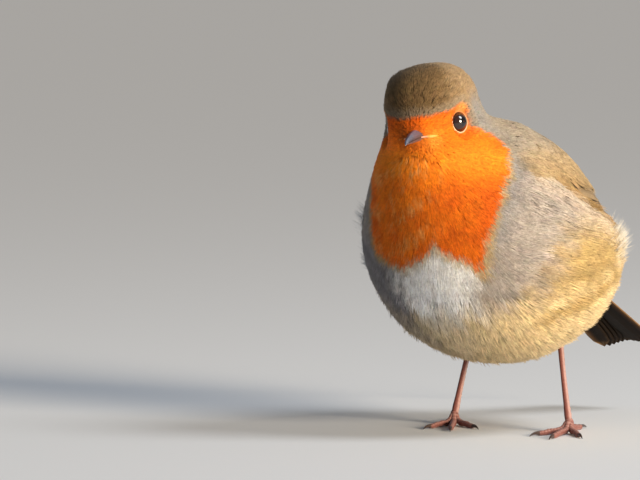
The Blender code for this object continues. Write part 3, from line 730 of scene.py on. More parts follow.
# ---- Wings -------------------------------------------------------------------------------------------------
# The folded wings. Each feather is a thin stiff vane on a fine shaft, its barbs slanting back to the edges.
# Rows of coverts lie like tiles over the secondaries and primaries; the tertials lie on top and the wing tip
# shows beyond.

FEATHER_ROWS, FEATHER_ACROSS = 15, 7


def paired(a, b):
    """Two arrays spread to one shape and stacked as the last axis."""
    return np.stack(np.broadcast_arrays(a, b), -1)


def barb_map(w, under, along):
    """The share across a vane, its underside's set beyond its top's, with the length along the barbs."""
    return paired(w[None] * (1 - 0.5 * under[None]) + 2.2 * under[None], along)


def vane(middle, side, out, half_in, half_out, thickness, camber, tip_round):
    """A closed feather: across its middle line a shallow arch, thin to the edges, that narrows at root and
    tip.

    For shares t along and w across (-1 to 1): point = middle(t) + side w half(w) shape(t) + out camber (1 -
    w2), where shape(t) = root (1 - exp) times tip (1 - t^tip_round)^0.5; the underside lies one thickness
    lower."""
    t = np.linspace(0, 1, len(middle))[:, None]
    w = np.linspace(-1, 1, FEATHER_ACROSS)[None]
    shape = (0.35 + 0.65 * step(t, 0, 0.35)) * np.sqrt(np.maximum(1 - t**tip_round, 0.0004))
    reach = np.where(w < 0, half_in, half_out) * shape
    arch = camber * (1 - w * w) + 0.05 * np.exp(-((w / 0.10) ** 2))
    top = middle[:, None] + side[:, None] * (w * reach)[..., None] + out[:, None] * arch[..., None]
    gap = thickness * (0.25 + 0.75 * (1 - w * w)) * (1 - 0.5 * t)
    low = top - out[:, None] * gap[..., None]
    ring = np.concatenate([top, low[:, ::-1][:, 1:-1]], 1)
    across = np.concatenate([w[0], w[0, ::-1][1:-1]])
    under = np.concatenate([np.zeros(FEATHER_ACROSS), np.ones(FEATHER_ACROSS - 2)])
    return ring, t[:, 0], across, under


def feather_faces(rows, ring):
    """The tube of quads round a feather as triangles, with a fan over each end."""
    faces = [grid_triangles(rows, ring)]
    for row, flip in ((0, False), (rows - 1, True)):
        j = np.arange(1, ring - 1)
        fan = np.stack([np.full(ring - 2, row * ring), row * ring + j, row * ring + j + 1], -1)
        faces.append(fan[:, ::-1] if flip else fan)
    return np.concatenate(faces)


def feather_tints(rows_t, across, under, dark, pale, edge):
    """Colour over a vane: dark along the middle, paler to the leading edge, palest at the rim, and a dark
    shaft."""
    t, w = rows_t[:, None], across[None]
    share = step(w, 0.1, 0.95)
    colour = dark + (pale - dark) * share[..., None]
    rim = (step(w, 0.62, 0.95) * 0.9 + step(t, 0.92, 1.0) * 0.6) * (1 - 0.8 * under)
    colour = colour + (edge - colour) * np.clip(rim, 0, 1)[..., None]
    colour = colour * (1 - 0.45 * np.exp(-((w / 0.12) ** 2)))[..., None]
    barbs = 1 + 0.10 * np.sin(60 * t + 9 * np.abs(w))
    return colour * (barbs * (1 - 0.35 * under[None]))[..., None]


class Feathers:
    """A growing set of vanes that becomes one mesh, each with its own cell of the bake map."""

    def __init__(self):
        self.points, self.faces, self.tints, self.barbs, self.count = [], [], [], [], 0

    def add(self, ring, tints, barbs):
        rows, columns = ring.shape[:2]
        self.points.append(ring.reshape(-1, 3))
        self.faces.append(feather_faces(rows, columns) + self.count)
        self.tints.append(tints.reshape(-1, 3))
        self.barbs.append(barbs.reshape(-1, 2))
        self.count += rows * columns

    def made(self, name, finish, slot):
        points, faces = np.concatenate(self.points), np.concatenate(self.faces)
        cells = int(np.ceil(np.sqrt(len(self.points))))
        bake = np.empty((len(points), 2))
        start = 0
        for k, (ring, barb) in enumerate(zip(self.points, self.barbs)):
            low, high = barb.min(0), barb.max(0)
            bake[start : start + len(ring)] = (
                (barb - low) / (high - low) * 0.9 + 0.05 + np.array([k % cells, k // cells])
            ) / cells
            start += len(ring)
        piece = to_mesh(name, points, faces, np.clip(np.concatenate(self.tints), 0, 1), bake[faces.ravel()])
        lines = piece.data.attributes.new("barbs", "FLOAT", "POINT")
        along = np.concatenate([b[:, 1] for b in self.barbs])
        lines.data.foreach_set("value", along.astype(np.float32))
        piece.data.materials.append(finish)
        return piece


def vane_finish(name, dull, sheen):
    """Stiff feather: the laid colour, with fine ridges along the barbs from the barb attribute, and a satin
    gloss."""
    made = plumage_finish(name, dull, sheen, 700)
    nodes, links = made.node_tree.nodes, made.node_tree.links
    barb = nodes.new("ShaderNodeAttribute")
    barb.attribute_name = "barbs"
    scaled = nodes.new("ShaderNodeMath")
    scaled.operation = "MULTIPLY"
    scaled.inputs[1].default_value = 16.0
    wave = nodes.new("ShaderNodeMath")
    wave.operation = "SINE"
    ridge = nodes.new("ShaderNodeBump")
    set_inputs(ridge, {"Strength": 0.35, "Distance": 0.0001})
    soft = next(n for n in nodes if n.type == "BUMP" and n != ridge)
    links.new(barb.outputs["Fac"], scaled.inputs[0])
    links.new(scaled.outputs[0], wave.inputs[0])
    links.new(wave.outputs[0], ridge.inputs["Height"])
    links.new(soft.outputs["Normal"], ridge.inputs["Normal"])
    links.new(ridge.outputs["Normal"], nodes["Principled BSDF"].inputs["Normal"])
    return made


feather_stiff = vane_finish("stiff_feather", 0.55, 0.15)
WING_BROWN = rgb(0.125, 0.082, 0.044)
WING_PALE = rgb(0.29, 0.195, 0.095)
WING_EDGE = rgb(0.54, 0.40, 0.24)

# row: (number, root stations first and last, root angles, tip stations, tip angles, half width, levels)
# The first feather of each row is the lowest on the bird's side; levels are heights over the bed.
WING_ROWS = {
    "primaries": (7, (30, 36), (70, 60), (62, 76), (66, 65), 2.3, (0.05, 0.30)),
    "secondaries": (6, (22, 22), (65, 50), (52, 59), (65, 49), 3.0, (0.15, 0.40)),
    "tertials": (3, (23, 21), (46, 30), (57, 45), (48, 26), 4.2, (0.45, 0.60)),
    "primary_coverts": (3, (20, 22), (68, 62), (40, 36), (68, 64), 2.0, (0.40, 0.50)),
    "greater_coverts": (8, (10, 12), (64, 30), (33, 29), (69, 30), 2.7, (0.60, 0.90)),
    "median_coverts": (7, (5, 6), (54, 30), (20, 18), (62, 30), 2.8, (0.80, 1.05)),
}


def wing_place(station, angle, side):
    """Where rays from the trunk's axis, at these stations and angles, leave the wing's bed."""
    a = np.radians(angle)
    way = side * np.sin(a)[..., None] * np.array([1.0, 0, 0]) + np.cos(a)[..., None] * AXIS_UP
    start = AXIS_START + station[..., None] * AXIS_WAY
    return surface_along(wing_bed, start, way, far=55)


for word, side_sign in SIDES.items():
    wing = Feathers()
    rng = np.random.RandomState(41 if word == "left" else 42)
    for row, (number, roots, root_angles, tips, tip_angles, half, levels) in WING_ROWS.items():
        for k in range(number):
            share = k / (number - 1)
            wobble = rng.uniform(-0.5, 0.5, 3)
            t = np.linspace(0, 1, FEATHER_ROWS)
            start_s, end_s = between(roots, share), between(tips, share)
            start_a, end_a = between(root_angles, share), between(tip_angles, share)
            if row == "primaries":  # the longest feather is the second from the top of the wing tip
                end_s = 58 + 17 * np.sin(np.pi / 2 * min(share * 1.15, 1.0))
            station = start_s + (end_s + wobble[0] - start_s) * t
            angle = start_a + (end_a + wobble[1] - start_a) * t
            middle = wing_place(station, angle, side_sign)
            out = outward(wing_bed, middle)
            level = between(levels, share)
            rise = (
                level * (1 - 0.25 * t) + 0.15 * wobble[2] * t - 1.2 * step(-t, -0.25, 0)
                + shoulder(station, angle)
            )
            middle = middle + out * rise[:, None]
            along = unit(np.gradient(middle, axis=0))
            across = unit(np.cross(out, along)) * side_sign  # towards the lower edge of the wing
            ring, rows_t, w, under = vane(
                middle, across, out, half * 0.9, half, thickness=0.16, camber=0.20, tip_round=3.0
            )
            # the vane's edges follow the bed, so that it wraps the body as a feather does
            flat = np.broadcast_to(middle[:, None], ring.shape)
            fall = (
                wing_bed(flat) - wing_bed(ring) + shoulder(*on_wing_map(ring))
                - shoulder(station, angle)[:, None]
            )
            target = fall[..., None] + ((ring - flat) * out[:, None]).sum(-1, keepdims=True)
            ring = ring + out[:, None] * target
            shade = 1 + 0.10 * rng.normal()
            rim_shade = WING_EDGE * shade * (0.55 if row == "primaries" else 1.0)
            tints = feather_tints(rows_t, w, under, WING_BROWN * shade, WING_PALE * shade, rim_shade)
            if "coverts" in row:
                tints = (
                    tints * 0.56
                    + 0.40 * (MANTLE * shade) * (1 - 0.20 * np.exp(-((w / 0.15) ** 2)))[None, :, None]
                )
            length = np.linalg.norm(middle[-1] - middle[0])
            barbs = barb_map(w, under, length * t[:, None] - 0.9 * half * np.abs(w)[None])
            wing.add(ring, tints, barbs)
    made = wing.made("wing_feathers_" + word, feather_stiff, "wing_brown")
    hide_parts("wing_" + word)

# ---- Tail --------------------------------------------------------------------------------------------------
# Twelve tail feathers, folded nearly shut: the middle pair on top, each outer pair tucked under the last and
# slightly lower, dark brown with rusty edges, their tips softly pointed and worn.

TAIL_LENGTH, TAIL_PAIRS = 42.6, 6
tail = Feathers()
rng = np.random.RandomState(51)
TAIL_UNDERSIDE_SHADE = rgb(0.014, 0.008, 0.004)
TAIL_UNDER_PALE_SHADE = rgb(0.055, 0.030, 0.014)
TAIL_EDGE = rgb(0.40, 0.23, 0.11)
TAIL_RUST = rgb(0.12, 0.052, 0.016)
TAIL_BROWN = rgb(0.088, 0.056, 0.030)
tail_stiff = vane_finish("tail_feather", 0.6, 0.0)
tail_stiff.node_tree.nodes["Principled BSDF"].inputs["Specular IOR Level"].default_value = 0.06
for pair in range(TAIL_PAIRS):
    outermost = pair == TAIL_PAIRS - 1
    for side_sign in (-1, 1):
        t = np.linspace(0, 1, FEATHER_ROWS)
        outwards = (pair + 0.25) / 5.4
        centre = side_sign * outwards * (4.0 + 3.9 * t)
        length = TAIL_LENGTH + 0.6 - 1.3 * (1 - outwards) - 0.6 * outermost + rng.uniform(-0.15, 0.15)
        height = -0.35 - 0.17 * pair - 0.35 * outwards**2 + 0.09 * (side_sign > 0) - 0.1 * t
        line = np.stack([centre, -3.0 + (length + 3.0) * t, height], -1)
        middle = TAIL_ROOT + [0, 0, -0.2] + line @ TAIL_TURN.T
        across = np.broadcast_to(TAIL_TURN[:, 0] * side_sign, middle.shape)
        out = np.broadcast_to(TAIL_TURN[:, 2], middle.shape)
        ring, rows_t, w, under = vane(
            middle, across, out, 3.8, 2.7, thickness=0.15, camber=0.22, tip_round=14.0
        )
        shade = 1 + 0.08 * rng.normal()
        pale, edge = (TAIL_RUST, TAIL_EDGE) if outermost else (TAIL_UNDER_PALE_SHADE * shade, TAIL_EDGE * 0.20)
        # painted shade: the undersides painted near black, darker than the tops' brown, apart from the
        # outermost pair's rusty web
        below = feather_tints(rows_t, w, 0 * under, TAIL_UNDERSIDE_SHADE * shade, pale, edge)
        edge = TAIL_EDGE if outermost else TAIL_BROWN * 1.7
        tints = feather_tints(rows_t, w, 0 * under, TAIL_BROWN * shade, TAIL_BROWN * 1.25 * shade, edge)
        tints = tints + (below - tints) * np.maximum(under, 0.85 * (np.abs(w) > 0.99))[None, :, None]
        barbs = barb_map(w, under, length * t[:, None] - 2.5 * np.abs(w)[None])
        tail.add(ring, tints, barbs)
# upper tail coverts, short and soft, over the tail's root
for spot in (-1.0, 1.0, -0.62, 0.62, -0.28, 0.28, 0.0):
    t = np.linspace(0, 1, FEATHER_ROWS)
    reach = 11.5 - 3.0 * spot * spot
    height = 0.35 + 0.5 * (1 - np.abs(spot)) - 0.35 * t + 0.8 * step(-t, -0.5, 0)
    line = np.stack([spot * (4.4 + 0.8 * t), -7.0 + (reach + 7.0) * t, height], -1)
    middle = TAIL_ROOT + line @ TAIL_TURN.T
    across = np.broadcast_to(TAIL_TURN[:, 0] * (1 if spot >= 0 else -1), middle.shape)
    out = np.broadcast_to(TAIL_TURN[:, 2], middle.shape)
    ring, rows_t, w, under = vane(middle, across, out, 2.5, 2.5, thickness=0.15, camber=0.25, tip_round=3.0)
    tints = feather_tints(rows_t, w, under * 0.3, MANTLE * 0.45, MANTLE * 0.60, MANTLE * 0.75)
    barbs = barb_map(w, under, reach * t[:, None] - 2.0 * np.abs(w)[None])
    tail.add(ring, tints, barbs)
tail_piece = tail.made("tail_feathers", tail_stiff, "tail_brown")
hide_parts("tail")

# ---- Eyes --------------------------------------------------------------------------------------------------
# A robin's large dark eye: a wet globe with a nearly black iris, sunk in the head and held by a thin ring of
# lid that is covered in pale, tightly laid feathers. The right eye lies a little deeper.

PUPIL_DIP, IRIS_DIP = 0.36, 0.80  # their edges, in radians from the line of sight
# the ring, its place along the line of sight, its half width
LID_RADIUS, LID_HEIGHT, LID_HALF = 2.86, 1.80, 0.20


def globe(middle, look, radius, rows=40, columns=56):
    """A sphere with its poles along look, the front bulged by 0.06 of its radius over the cornea."""
    side = unit(np.cross(look, [0.0, 0.0, 1.0]))
    fore = np.cross(look, side)
    dip = np.linspace(0, np.pi, rows)[:, None, None]
    angle = (np.arange(columns) / columns * 2 * np.pi)[None, :, None]
    swell = 1 + 0.06 * np.exp(-((dip / 0.55) ** 2))
    points = look * np.cos(dip) + (side * np.cos(angle) + fore * np.sin(angle)) * np.sin(dip)
    return middle + points * swell * radius, dip[:, 0, 0]


def eye_finish():
    """Wet globe: the iris's brown and the pupil's black laid by point, under a clear, sharp gloss."""
    made = bpy.data.materials.new("wet_eye")
    made.use_nodes = True
    nodes, links = made.node_tree.nodes, made.node_tree.links
    shader = nodes["Principled BSDF"]
    set_inputs(
        shader, {"Roughness": 0.12, "Specular IOR Level": 0.3, "Coat Weight": 1.0, "Coat Roughness": 0.02}
    )
    laid = nodes.new("ShaderNodeAttribute")
    laid.attribute_name = "plumage"
    place = nodes.new("ShaderNodeTexCoord")
    fleck = nodes.new("ShaderNodeTexNoise")
    fleck.inputs["Scale"].default_value = 2500
    mix = nodes.new("ShaderNodeMix")
    mix.data_type, mix.blend_type = "RGBA", "MULTIPLY"
    mix.inputs["Factor"].default_value = 0.5
    links.new(place.outputs["Object"], fleck.inputs["Vector"])
    links.new(laid.outputs["Color"], mix.inputs[6])
    links.new(fleck.outputs["Fac"], mix.inputs[7])
    links.new(mix.outputs[2], shader.inputs["Base Color"])
    return made


def ring_tube(middle, look, radius, height, thick, wide, columns=72, around=12):
    """A lid ring: an ellipse carried round the line of sight, scalloped a little like rows of tiny
    feathers."""
    side = unit(np.cross(look, [0.0, 0.0, 1.0]))
    fore = np.cross(look, side)
    angle = (np.arange(columns) / columns * 2 * np.pi)[:, None]
    turn_round = (np.arange(around) / around * 2 * np.pi)[None]
    scallop = 1 + 0.07 * np.sin(angle * 24) * np.clip(np.cos(turn_round), 0, 1)
    span = radius + wide * np.cos(turn_round) * scallop
    lift = height + thick * np.sin(turn_round) - 0.10 * np.cos(turn_round) + 0 * angle
    rim = side * np.cos(angle)[..., None] + fore * np.sin(angle)[..., None]
    return middle + rim * span[..., None] + look * lift[..., None], angle + 0 * turn_round


wet_eye, lid_skin = eye_finish(), plumage_finish("lid_skin", 0.7, 0.2, 2500)
for word, side_sign in SIDES.items():
    middle, look = eye_of(side_sign)
    points, dip = globe(middle, look, EYE_RADIUS)
    iris = np.where(dip < PUPIL_DIP, 0.0, np.where(dip < IRIS_DIP, 1.0, 0.25))
    tints = np.array([0.004, 0.003, 0.003]) + iris[:, None] * np.array([0.030, 0.012, 0.006])
    tints = np.repeat(tints[:, None], points.shape[1], 1)
    eye = to_mesh("eye_globe_" + word, points, grid_triangles(*points.shape[:2])[:, ::-1], tints)
    eye.data.materials.append(wet_eye)
    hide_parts("eye_" + word)

    points, angle = ring_tube(middle, look, LID_RADIUS, LID_HEIGHT, LID_HALF, LID_HALF)
    rows, columns = points.shape[:2]
    closed = np.concatenate([points, points[:1]])
    lifted = (points - middle) @ HEAD_TURN[:, 2]
    cream = np.array([0.80, 0.55, 0.32]) * (0.85 + 0.15 * np.cos(angle))[..., None]
    cream = toward(cream, ORANGE * 0.6, 0.75 * step(lifted, 0.6, 2.4))
    tints = np.concatenate([cream, cream[:1]])
    lid = to_mesh("eye_lid_" + word, closed, grid_triangles(rows + 1, columns), tints)
    lid.data.materials.append(lid_skin)

# ---- Bill --------------------------------------------------------------------------------------------------
# A fine insect-eater's bill of dark horn: a ridged upper half that ends in a slight hook, with a nostril slit
# at each side of its root, over a narrower lower half; at the root the mouth's corners are soft and pale
# yellow.

BILL_BASE, BILL_LENGTH, BILL_HALF_WIDTH, BILL_DROP = 15.8, 9.8, 2.4, 4.7
BILL_BEND = (0.4, 0.5)  # how far the mouth line sinks to the tip: evenly, and more and more
UPPER_DEPTH, LOWER_DEPTH, TIP_RADIUS = 1.5, 1.2, 0.26
BILL_ROWS, BILL_AROUND, MOUTH_ACROSS = 48, 30, 6  # points along a half, over it, and across its flat side
HORN = rgb(0.048, 0.042, 0.050)
HORN_PALE = rgb(0.42, 0.25, 0.16)
HORN_SKY_GLINT = rgb(0.17, 0.19, 0.27)


def horn_finish():
    """Horn: the laid colour under fine lengthways grain, smooth and a little glossy."""
    made = plumage_finish("bill_horn", 0.30, 0.0, 1800)
    set_inputs(made.node_tree.nodes["Principled BSDF"], {"Specular IOR Level": 0.5, "Coat Weight": 0.3})
    return made


horn = horn_finish()
for name, rise in (("bill_horn_upper", 1), ("bill_horn_lower", -1)):
    t = np.linspace(0, 1, BILL_ROWS)[:, None]
    a = np.linspace(0, np.pi, BILL_AROUND)[None]
    half = BILL_HALF_WIDTH * (1 - t) ** 0.85 + TIP_RADIUS * (1 - 0.8 * t**6)
    depth = (
        UPPER_DEPTH * (1 - t**1.5) ** 0.9 if rise > 0 else LOWER_DEPTH * (1 - t) ** 0.8
    ) + TIP_RADIUS * (1 - 0.8 * t**6)
    hook = 0.45 * step(t, 0.82, 1.0) if rise > 0 else -0.15 * step(t, 0.85, 1.0)
    mouth = -BILL_DROP - BILL_BEND[0] * t - BILL_BEND[1] * t**2 - hook + rise * 0.08
    length = BILL_LENGTH if rise > 0 else BILL_LENGTH - 0.7
    ridge = 1 + 0.10 * np.exp(-(((a - np.pi / 2) / 0.30) ** 2)) * (rise > 0)
    x = half * np.cos(a)
    z = mouth + rise * depth * np.sin(a) ** 1.15 * ridge
    pit = (
        np.exp(-(((t - 0.13) / 0.055) ** 2)) * np.exp(-(((np.abs(a - np.pi / 2) - 0.85) / 0.16) ** 2))
        * (rise > 0)
    )
    x, z = x * (1 - 0.16 * pit), z - rise * 0.20 * pit
    y = -(BILL_BASE - 2.2 + (length + 2.2) * t) + 0 * a
    flat = np.linspace(half[:, 0], -half[:, 0], MOUTH_ACROSS + 2, axis=1)[:, ::-1][:, 1:-1]
    x = np.concatenate([x, flat], 1)
    y = np.concatenate([y, np.repeat(y[:, :1], flat.shape[1], 1)], 1)
    z = np.concatenate([z, np.repeat(mouth, flat.shape[1], 1)], 1)
    points = in_head(np.stack([x, y, z], -1))
    no_pit = np.zeros(flat.shape)
    around = np.concatenate([np.broadcast_to(np.sin(a), pit.shape), no_pit], 1)
    # painted reflection: the top of the bill bluer towards its ridge and tip, for the sky's glint
    tints = toward(HORN, HORN_SKY_GLINT, around**2 * (0.45 + 0.45 * t))
    pale = step(-t, -0.42, -0.10) * (0.75 if rise < 0 else 0.12) * (1 - around**2 * (0.2 if rise < 0 else 1))
    tints = toward(tints, HORN_PALE, np.clip(pale, 0, 1) + 0 * around)
    # painted shade: the nostril pits darkened, for the shade inside the openings
    tints = tints * (1 - 0.85 * np.concatenate([pit, no_pit], 1))[..., None]
    faces = feather_faces(*points.shape[:2])
    bill = to_mesh(name, points, faces if rise > 0 else faces[:, ::-1], np.clip(tints, 0, 1))
    bill.data.materials.append(horn)
    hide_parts("bill_upper" if rise > 0 else "bill_lower")


def tube(path, radii, ring=10, squash=1.0):
    """A round tube: a circle of each radius square to the path, its ends drawn to the path's own ends."""
    ahead = unit(np.gradient(path, axis=0))
    across = unit(np.cross(ahead, [0.0, 0.0, 1.0]) + 1e-6)
    upward = np.cross(across, ahead)
    a = (np.arange(ring) + 0.5) / ring * 2 * np.pi
    return path[:, None] + np.asarray(radii)[:, None, None] * (
        np.cos(a)[:, None] * across[:, None] + np.sin(a)[:, None] * upward[:, None] * squash
    ), a


GAPE_PINK = rgb(0.62, 0.30, 0.20)
GAPE_YELLOW = rgb(0.95, 0.42, 0.09)
gape_skin = plumage_finish("gape_skin", 0.45, 0.0, 2500)
for word, side_sign in SIDES.items():
    mirror = np.array([side_sign, 1, 1])
    corner = np.array(
        [(1.9, -17.4, -4.95), (2.6, -16.4, -5.0), (3.8, -15.9, -5.15), (4.9, -15.3, -5.2), (6.1, -14.5, -5.3)]
    )
    knots = in_head(corner * mirror)
    t = np.linspace(0, 4, 32)
    path = np.stack([np.interp(t, np.arange(5), knots[:, k]) for k in range(3)], -1)
    sunk = 0.10 + 0.34 * step(t, 1.6, 3.6) + (0.5 if side_sign < 0 else 0)
    path = path - outward(plumage, path) * ((plumage(path) + sunk) * step(t, 0.9, 1.6))[:, None]
    swell = np.interp(t, [0, 1, 2, 3, 3.6, 4], [0.22, 0.34, 0.50, 0.54, 0.44, 0.06])
    ring, _ = tube(path, swell, squash=0.8)
    tints = toward(GAPE_PINK, GAPE_YELLOW, step(t, 0.8, 2.2)[:, None] + 0 * ring[..., 0])
    tints = toward(tints, ORANGE_PALE_AND_SUNLIT, 0.8 * step(t, 2.7, 3.8)[:, None] + 0 * ring[..., 0])
    gape = to_mesh("gape_" + word, ring, feather_faces(*ring.shape[:2]), tints)
    gape.data.materials.append(gape_skin)

# ---- Legs and feet -----------------------------------------------------------------------------------------
# Thin bare shanks in overlapping horny scutes down the front, and long toes, three forward and one back, with
# scutes above and soft pads under. The skin is reddish brown; every toe ends in a curved dark claw.

ANKLES = {"left": (13.2, 12.5, 28.4), "right": (-13.5, 12.5, 28.4)}
TOE_JOINTS = {"left": (20.0, 7.0, 3.6), "right": (-17.0, 7.0, 3.6)}
FOOT_TURN = {"left": 16, "right": 30}
LIMB_AROUND, CLAW_AROUND = 28, 14  # points round a shank or toe, and round a claw
TOE_SCUTE, SCUTE_LENGTH = 0.12, 1.15
# toe: (bearing from the middle toe, reach to the claw's root, radius, claw's length, joints along it)
TOES = {
    "inner": (-30, 11.2, 0.80, 3.6, 3), "middle": (0, 15.3, 0.84, 4.0, 4), "outer": (29, 12.2, 0.78, 3.6, 4),
    "hind": (178, 9.6, 0.90, 5.6, 2)
}
LEG_RED = rgb(0.21, 0.075, 0.060)
LEG_PALE = rgb(0.48, 0.31, 0.28)
LEG_DARK = rgb(0.09, 0.035, 0.028)


def scaled_toe(path, radii, pads):
    """A tube with scutes: over its upper half the radius saws up by TOE_SCUTE every SCUTE_LENGTH along it,
    under it the pads swell it by up to 0.2 each, and nothing of it goes below the floor."""
    long = np.concatenate([[0], np.cumsum(np.linalg.norm(np.diff(path, axis=0), axis=-1))])
    points, a = tube(path, radii, LIMB_AROUND)
    over = np.clip(np.sin(a) * 1.6, 0, 1)[None]
    saw = (long[:, None] / SCUTE_LENGTH + 0.12 * np.cos(a)[None]) % 1.0
    swell = TOE_SCUTE * over * (1 - saw) ** 0.6
    swell = (
        swell
        + 0.10 * np.clip(-np.sin(a), 0, 1)[None] * (1 - np.cos(long[:, None] / long[-1] * pads * 2 * np.pi))
    )
    middle = path[:, None]
    points = middle + (points - middle) * (1 + swell / np.asarray(radii)[:, None])[..., None]
    points[..., 2] = np.maximum(points[..., 2], 0.0)
    groove = over * step(saw, 0.80, 0.98)
    tints = toward(LEG_RED, LEG_PALE, 0.55 * over * (1 - saw) + 0.35 * np.clip(-np.sin(a), 0, 1)[None])
    return points, toward(tints, LEG_DARK, 0.8 * groove)


leg_skin, claw_horn = (
    plumage_finish("leg_scutes", 0.42, 0.0, 1600), plumage_finish("claw_horn", 0.28, 0.0, 1500)
)
for word, side_sign in SIDES.items():
    leg, claws = Feathers(), Feathers()
    ankle, joint = np.array(ANKLES[word]), np.array(TOE_JOINTS[word])
    t = np.linspace(0, 1, 120)[:, None]
    heel = joint - [0, 0, 1.3]
    path = heel + (ankle - heel) * t + np.array([0, -0.35, 0]) * np.sin(np.pi * t)
    share = t[:, 0]
    radii = np.interp(share, [0, 0.04, 0.10, 0.2, 0.5, 0.8, 1.0], [0.5, 0.95, 1.0, 0.84, 0.74, 0.80, 1.05])
    ahead = unit(np.gradient(path, axis=0))
    front = np.array([0.0, -1.0, 0.0])
    across = unit(np.cross(ahead, front))
    a = (np.arange(LIMB_AROUND) + 0.5) / LIMB_AROUND * 2 * np.pi
    over = np.clip(-np.sin(a) * 1.6, 0, 1)[None]
    saw = (1 - (share[:, None] * 25.0 / 1.5 + 0.10 * np.cos(a)[None]) % 1.0)
    girth = radii[:, None] * np.where(np.sin(a)[None] > 0, 1.15, 1.0) + 0.11 * over * (1 - saw) ** 0.6
    fore = np.cross(across, ahead)
    ring = path[:, None] + girth[..., None] * (
        np.cos(a)[:, None] * across[:, None] * 0.85 + np.sin(a)[:, None] * fore[:, None]
    )
    # painted highlight: both sides of the shank paler, its middle left darker red
    edges = step(np.abs(np.cos(a)), 0.62, 0.98)[None]
    tints = toward(LEG_RED, LEG_PALE, 0.25 * over * (1 - saw) + 0.75 * edges)
    tints = toward(tints, LEG_DARK, 0.8 * over * step(saw, 0.80, 0.98))
    leg.add(ring, tints, paired(np.cos(a)[None], share[:, None]))
    for toe, (bearing, reach, radius, claw, joints) in TOES.items():
        turned = np.radians(FOOT_TURN[word] + side_sign * bearing)
        way = np.array([np.sin(turned), -np.cos(turned), 0.0])
        t = np.linspace(0, 1, 72)
        knuckles = 1 + 0.09 * np.cos(t * joints * 2 * np.pi)
        thick = radius * (1 - 0.24 * t) * knuckles * np.where(t > 0.97, 0.8, 1)
        height = (
            radius * 0.86 * (1 - 0.2 * t) + 2.3 * np.exp(-((t * reach / 2.0) ** 2))
            + 0.25 * np.sin(np.pi * t) ** 2
        )
        path = joint * [1, 1, 0] + way * (reach * t)[:, None] + np.array([0, 0, 1.0]) * height[:, None]
        ring, tints = scaled_toe(path, thick, joints)
        barbs = paired(np.linspace(0, 1, LIMB_AROUND)[None], t[:, None])
        leg.add(ring, tints, barbs)
        bend = np.linspace(0, 1, 26)
        thin = 0.44 * (1 - bend) ** 0.7 + 0.04
        arch = 0.60 + 0.60 * np.sin(bend * np.pi * 0.8) - 0.88 * bend
        path = (
            joint * [1, 1, 0] + way * (reach - 0.5 + (claw + 0.4) * bend)[:, None]
            + np.array([0, 0, 1.0]) * arch[:, None]
        )
        ring, a = tube(path, thin, CLAW_AROUND, squash=1.25)
        ring[..., 2] = np.maximum(ring[..., 2], 0.0)
        tints = (
            np.broadcast_to(np.array([0.045, 0.030, 0.026]), ring.shape) * (1.8 - 1.0 * bend)[:, None, None]
        )
        claws.add(ring, tints, paired(np.linspace(0, 1, CLAW_AROUND)[None], bend[:, None]))
    made = leg.made("leg_scutes_" + word, leg_skin, "leg_skin")
    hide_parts("shank_" + word, "foot_" + word, *[f"toe_{word}_{toe}" for toe in TOES])
    made = claws.made("claws_" + word, claw_horn, "claw_horn")
    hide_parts(*[f"claw_{word}_{toe}" for toe in TOES])

# ---- Floor, light and camera -------------------------------------------------------------------------------
# A wide pale floor for the bird to stand on, a warm soft sun from its left, a cool sky all round, and a small
# lamp whose reflection gives the left eye its spark. The camera looks at the bird's front left from a little
# above.

floor_mesh = bpy.data.meshes.new("floor")
FLOOR_REACH, FLOOR_DROP = 30, 0.00005  # metres; it lies a hair below the toes
floor_corners = [
    (x * FLOOR_REACH, y * FLOOR_REACH, -FLOOR_DROP) for x, y in ((-1, -1), (1, -1), (1, 1), (-1, 1))
]
floor_mesh.from_pydata(floor_corners, [], [(0, 1, 2, 3)])
floor = bpy.data.objects.new("floor", floor_mesh)
bpy.context.scene.collection.objects.link(floor)
pale = bpy.data.materials.new("pale_floor")
pale.use_nodes = True
set_inputs(pale.node_tree.nodes["Principled BSDF"], {"Base Color": (0.75, 0.76, 0.78, 1), "Roughness": 0.9})
floor_mesh.materials.append(pale)

world = bpy.data.worlds.new("studio")
bpy.context.scene.world = world
world.use_nodes = True
set_inputs(world.node_tree.nodes["Background"], {"Color": (0.70, 0.82, 1.0, 1), "Strength": 0.20})

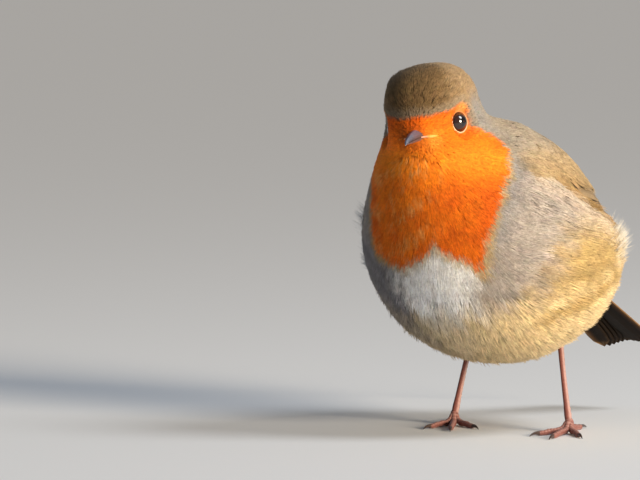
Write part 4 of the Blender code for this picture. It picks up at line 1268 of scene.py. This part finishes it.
azimuth, elevation = np.radians(33), np.radians(4)
view_right = np.array([np.cos(azimuth), np.sin(azimuth), 0])
view_back = np.array(
    [np.sin(azimuth) * np.cos(elevation), -np.cos(azimuth) * np.cos(elevation), np.sin(elevation)]
)
view_up = np.cross(view_back, view_right)


def aimed(obj, place, target):
    """Puts a lamp or camera at a place, in metres, and points it at another."""
    obj.location = Vector(place)
    obj.rotation_mode = "QUATERNION"
    obj.rotation_quaternion = Vector(np.asarray(target) - np.asarray(place)).to_track_quat("-Z", "Y")
    bpy.context.scene.collection.objects.link(obj)


bird = (np.array([0.0, 0.0, 50.0]) + PLACE) * MILLIMETRE
key_data = bpy.data.lights.new("key", "SUN")
key_data.energy, key_data.angle, key_data.color = 5.4, np.radians(22), (1.0, 0.86, 0.66)
key_way = unit(view_right * 0.74 + view_back * 0.70 + np.array([0, 0, 0.18]))
aimed(bpy.data.objects.new("key", key_data), bird + key_way, bird)

middle, look = eye_of(1.0)
eye_place = (middle + look * EYE_RADIUS + PLACE) * MILLIMETRE
glint = unit(unit(look * 0.42 + view_back * 0.62 + np.array([0, 0, 0.50])) + view_right * 0.14)
bounce = 2 * (glint @ view_back) * glint - view_back
lamp = bpy.data.lights.new("eye_lamp", "AREA")
lamp.energy, lamp.size, lamp.shape, lamp.color = 3.4, 0.32, "DISK", (0.95, 0.98, 1.0)
aimed(bpy.data.objects.new("eye_lamp", lamp), eye_place + bounce * 0.8, eye_place)

camera_data = bpy.data.cameras.new("camera")
LENS, SENSOR = 300, 36
FRAME_WIDTH = 640 / 3.7  # millimetres across the view at the bird
FRAME_RISE, FRAME_SHIFT = 0.05135, 0.04676  # metres from the bird's own origin to the middle of the view
camera_data.lens, camera_data.sensor_width = LENS, SENSOR
camera_data.clip_end = 200
DISTANCE = FRAME_WIDTH / SENSOR * LENS * MILLIMETRE
centre = PLACE * MILLIMETRE + view_up * FRAME_RISE
camera = bpy.data.objects.new("camera", camera_data)
aimed(camera, centre + view_back * DISTANCE, centre - view_right * FRAME_SHIFT)
bpy.context.scene.camera = camera
bpy.context.scene.view_settings.view_transform = "Standard"
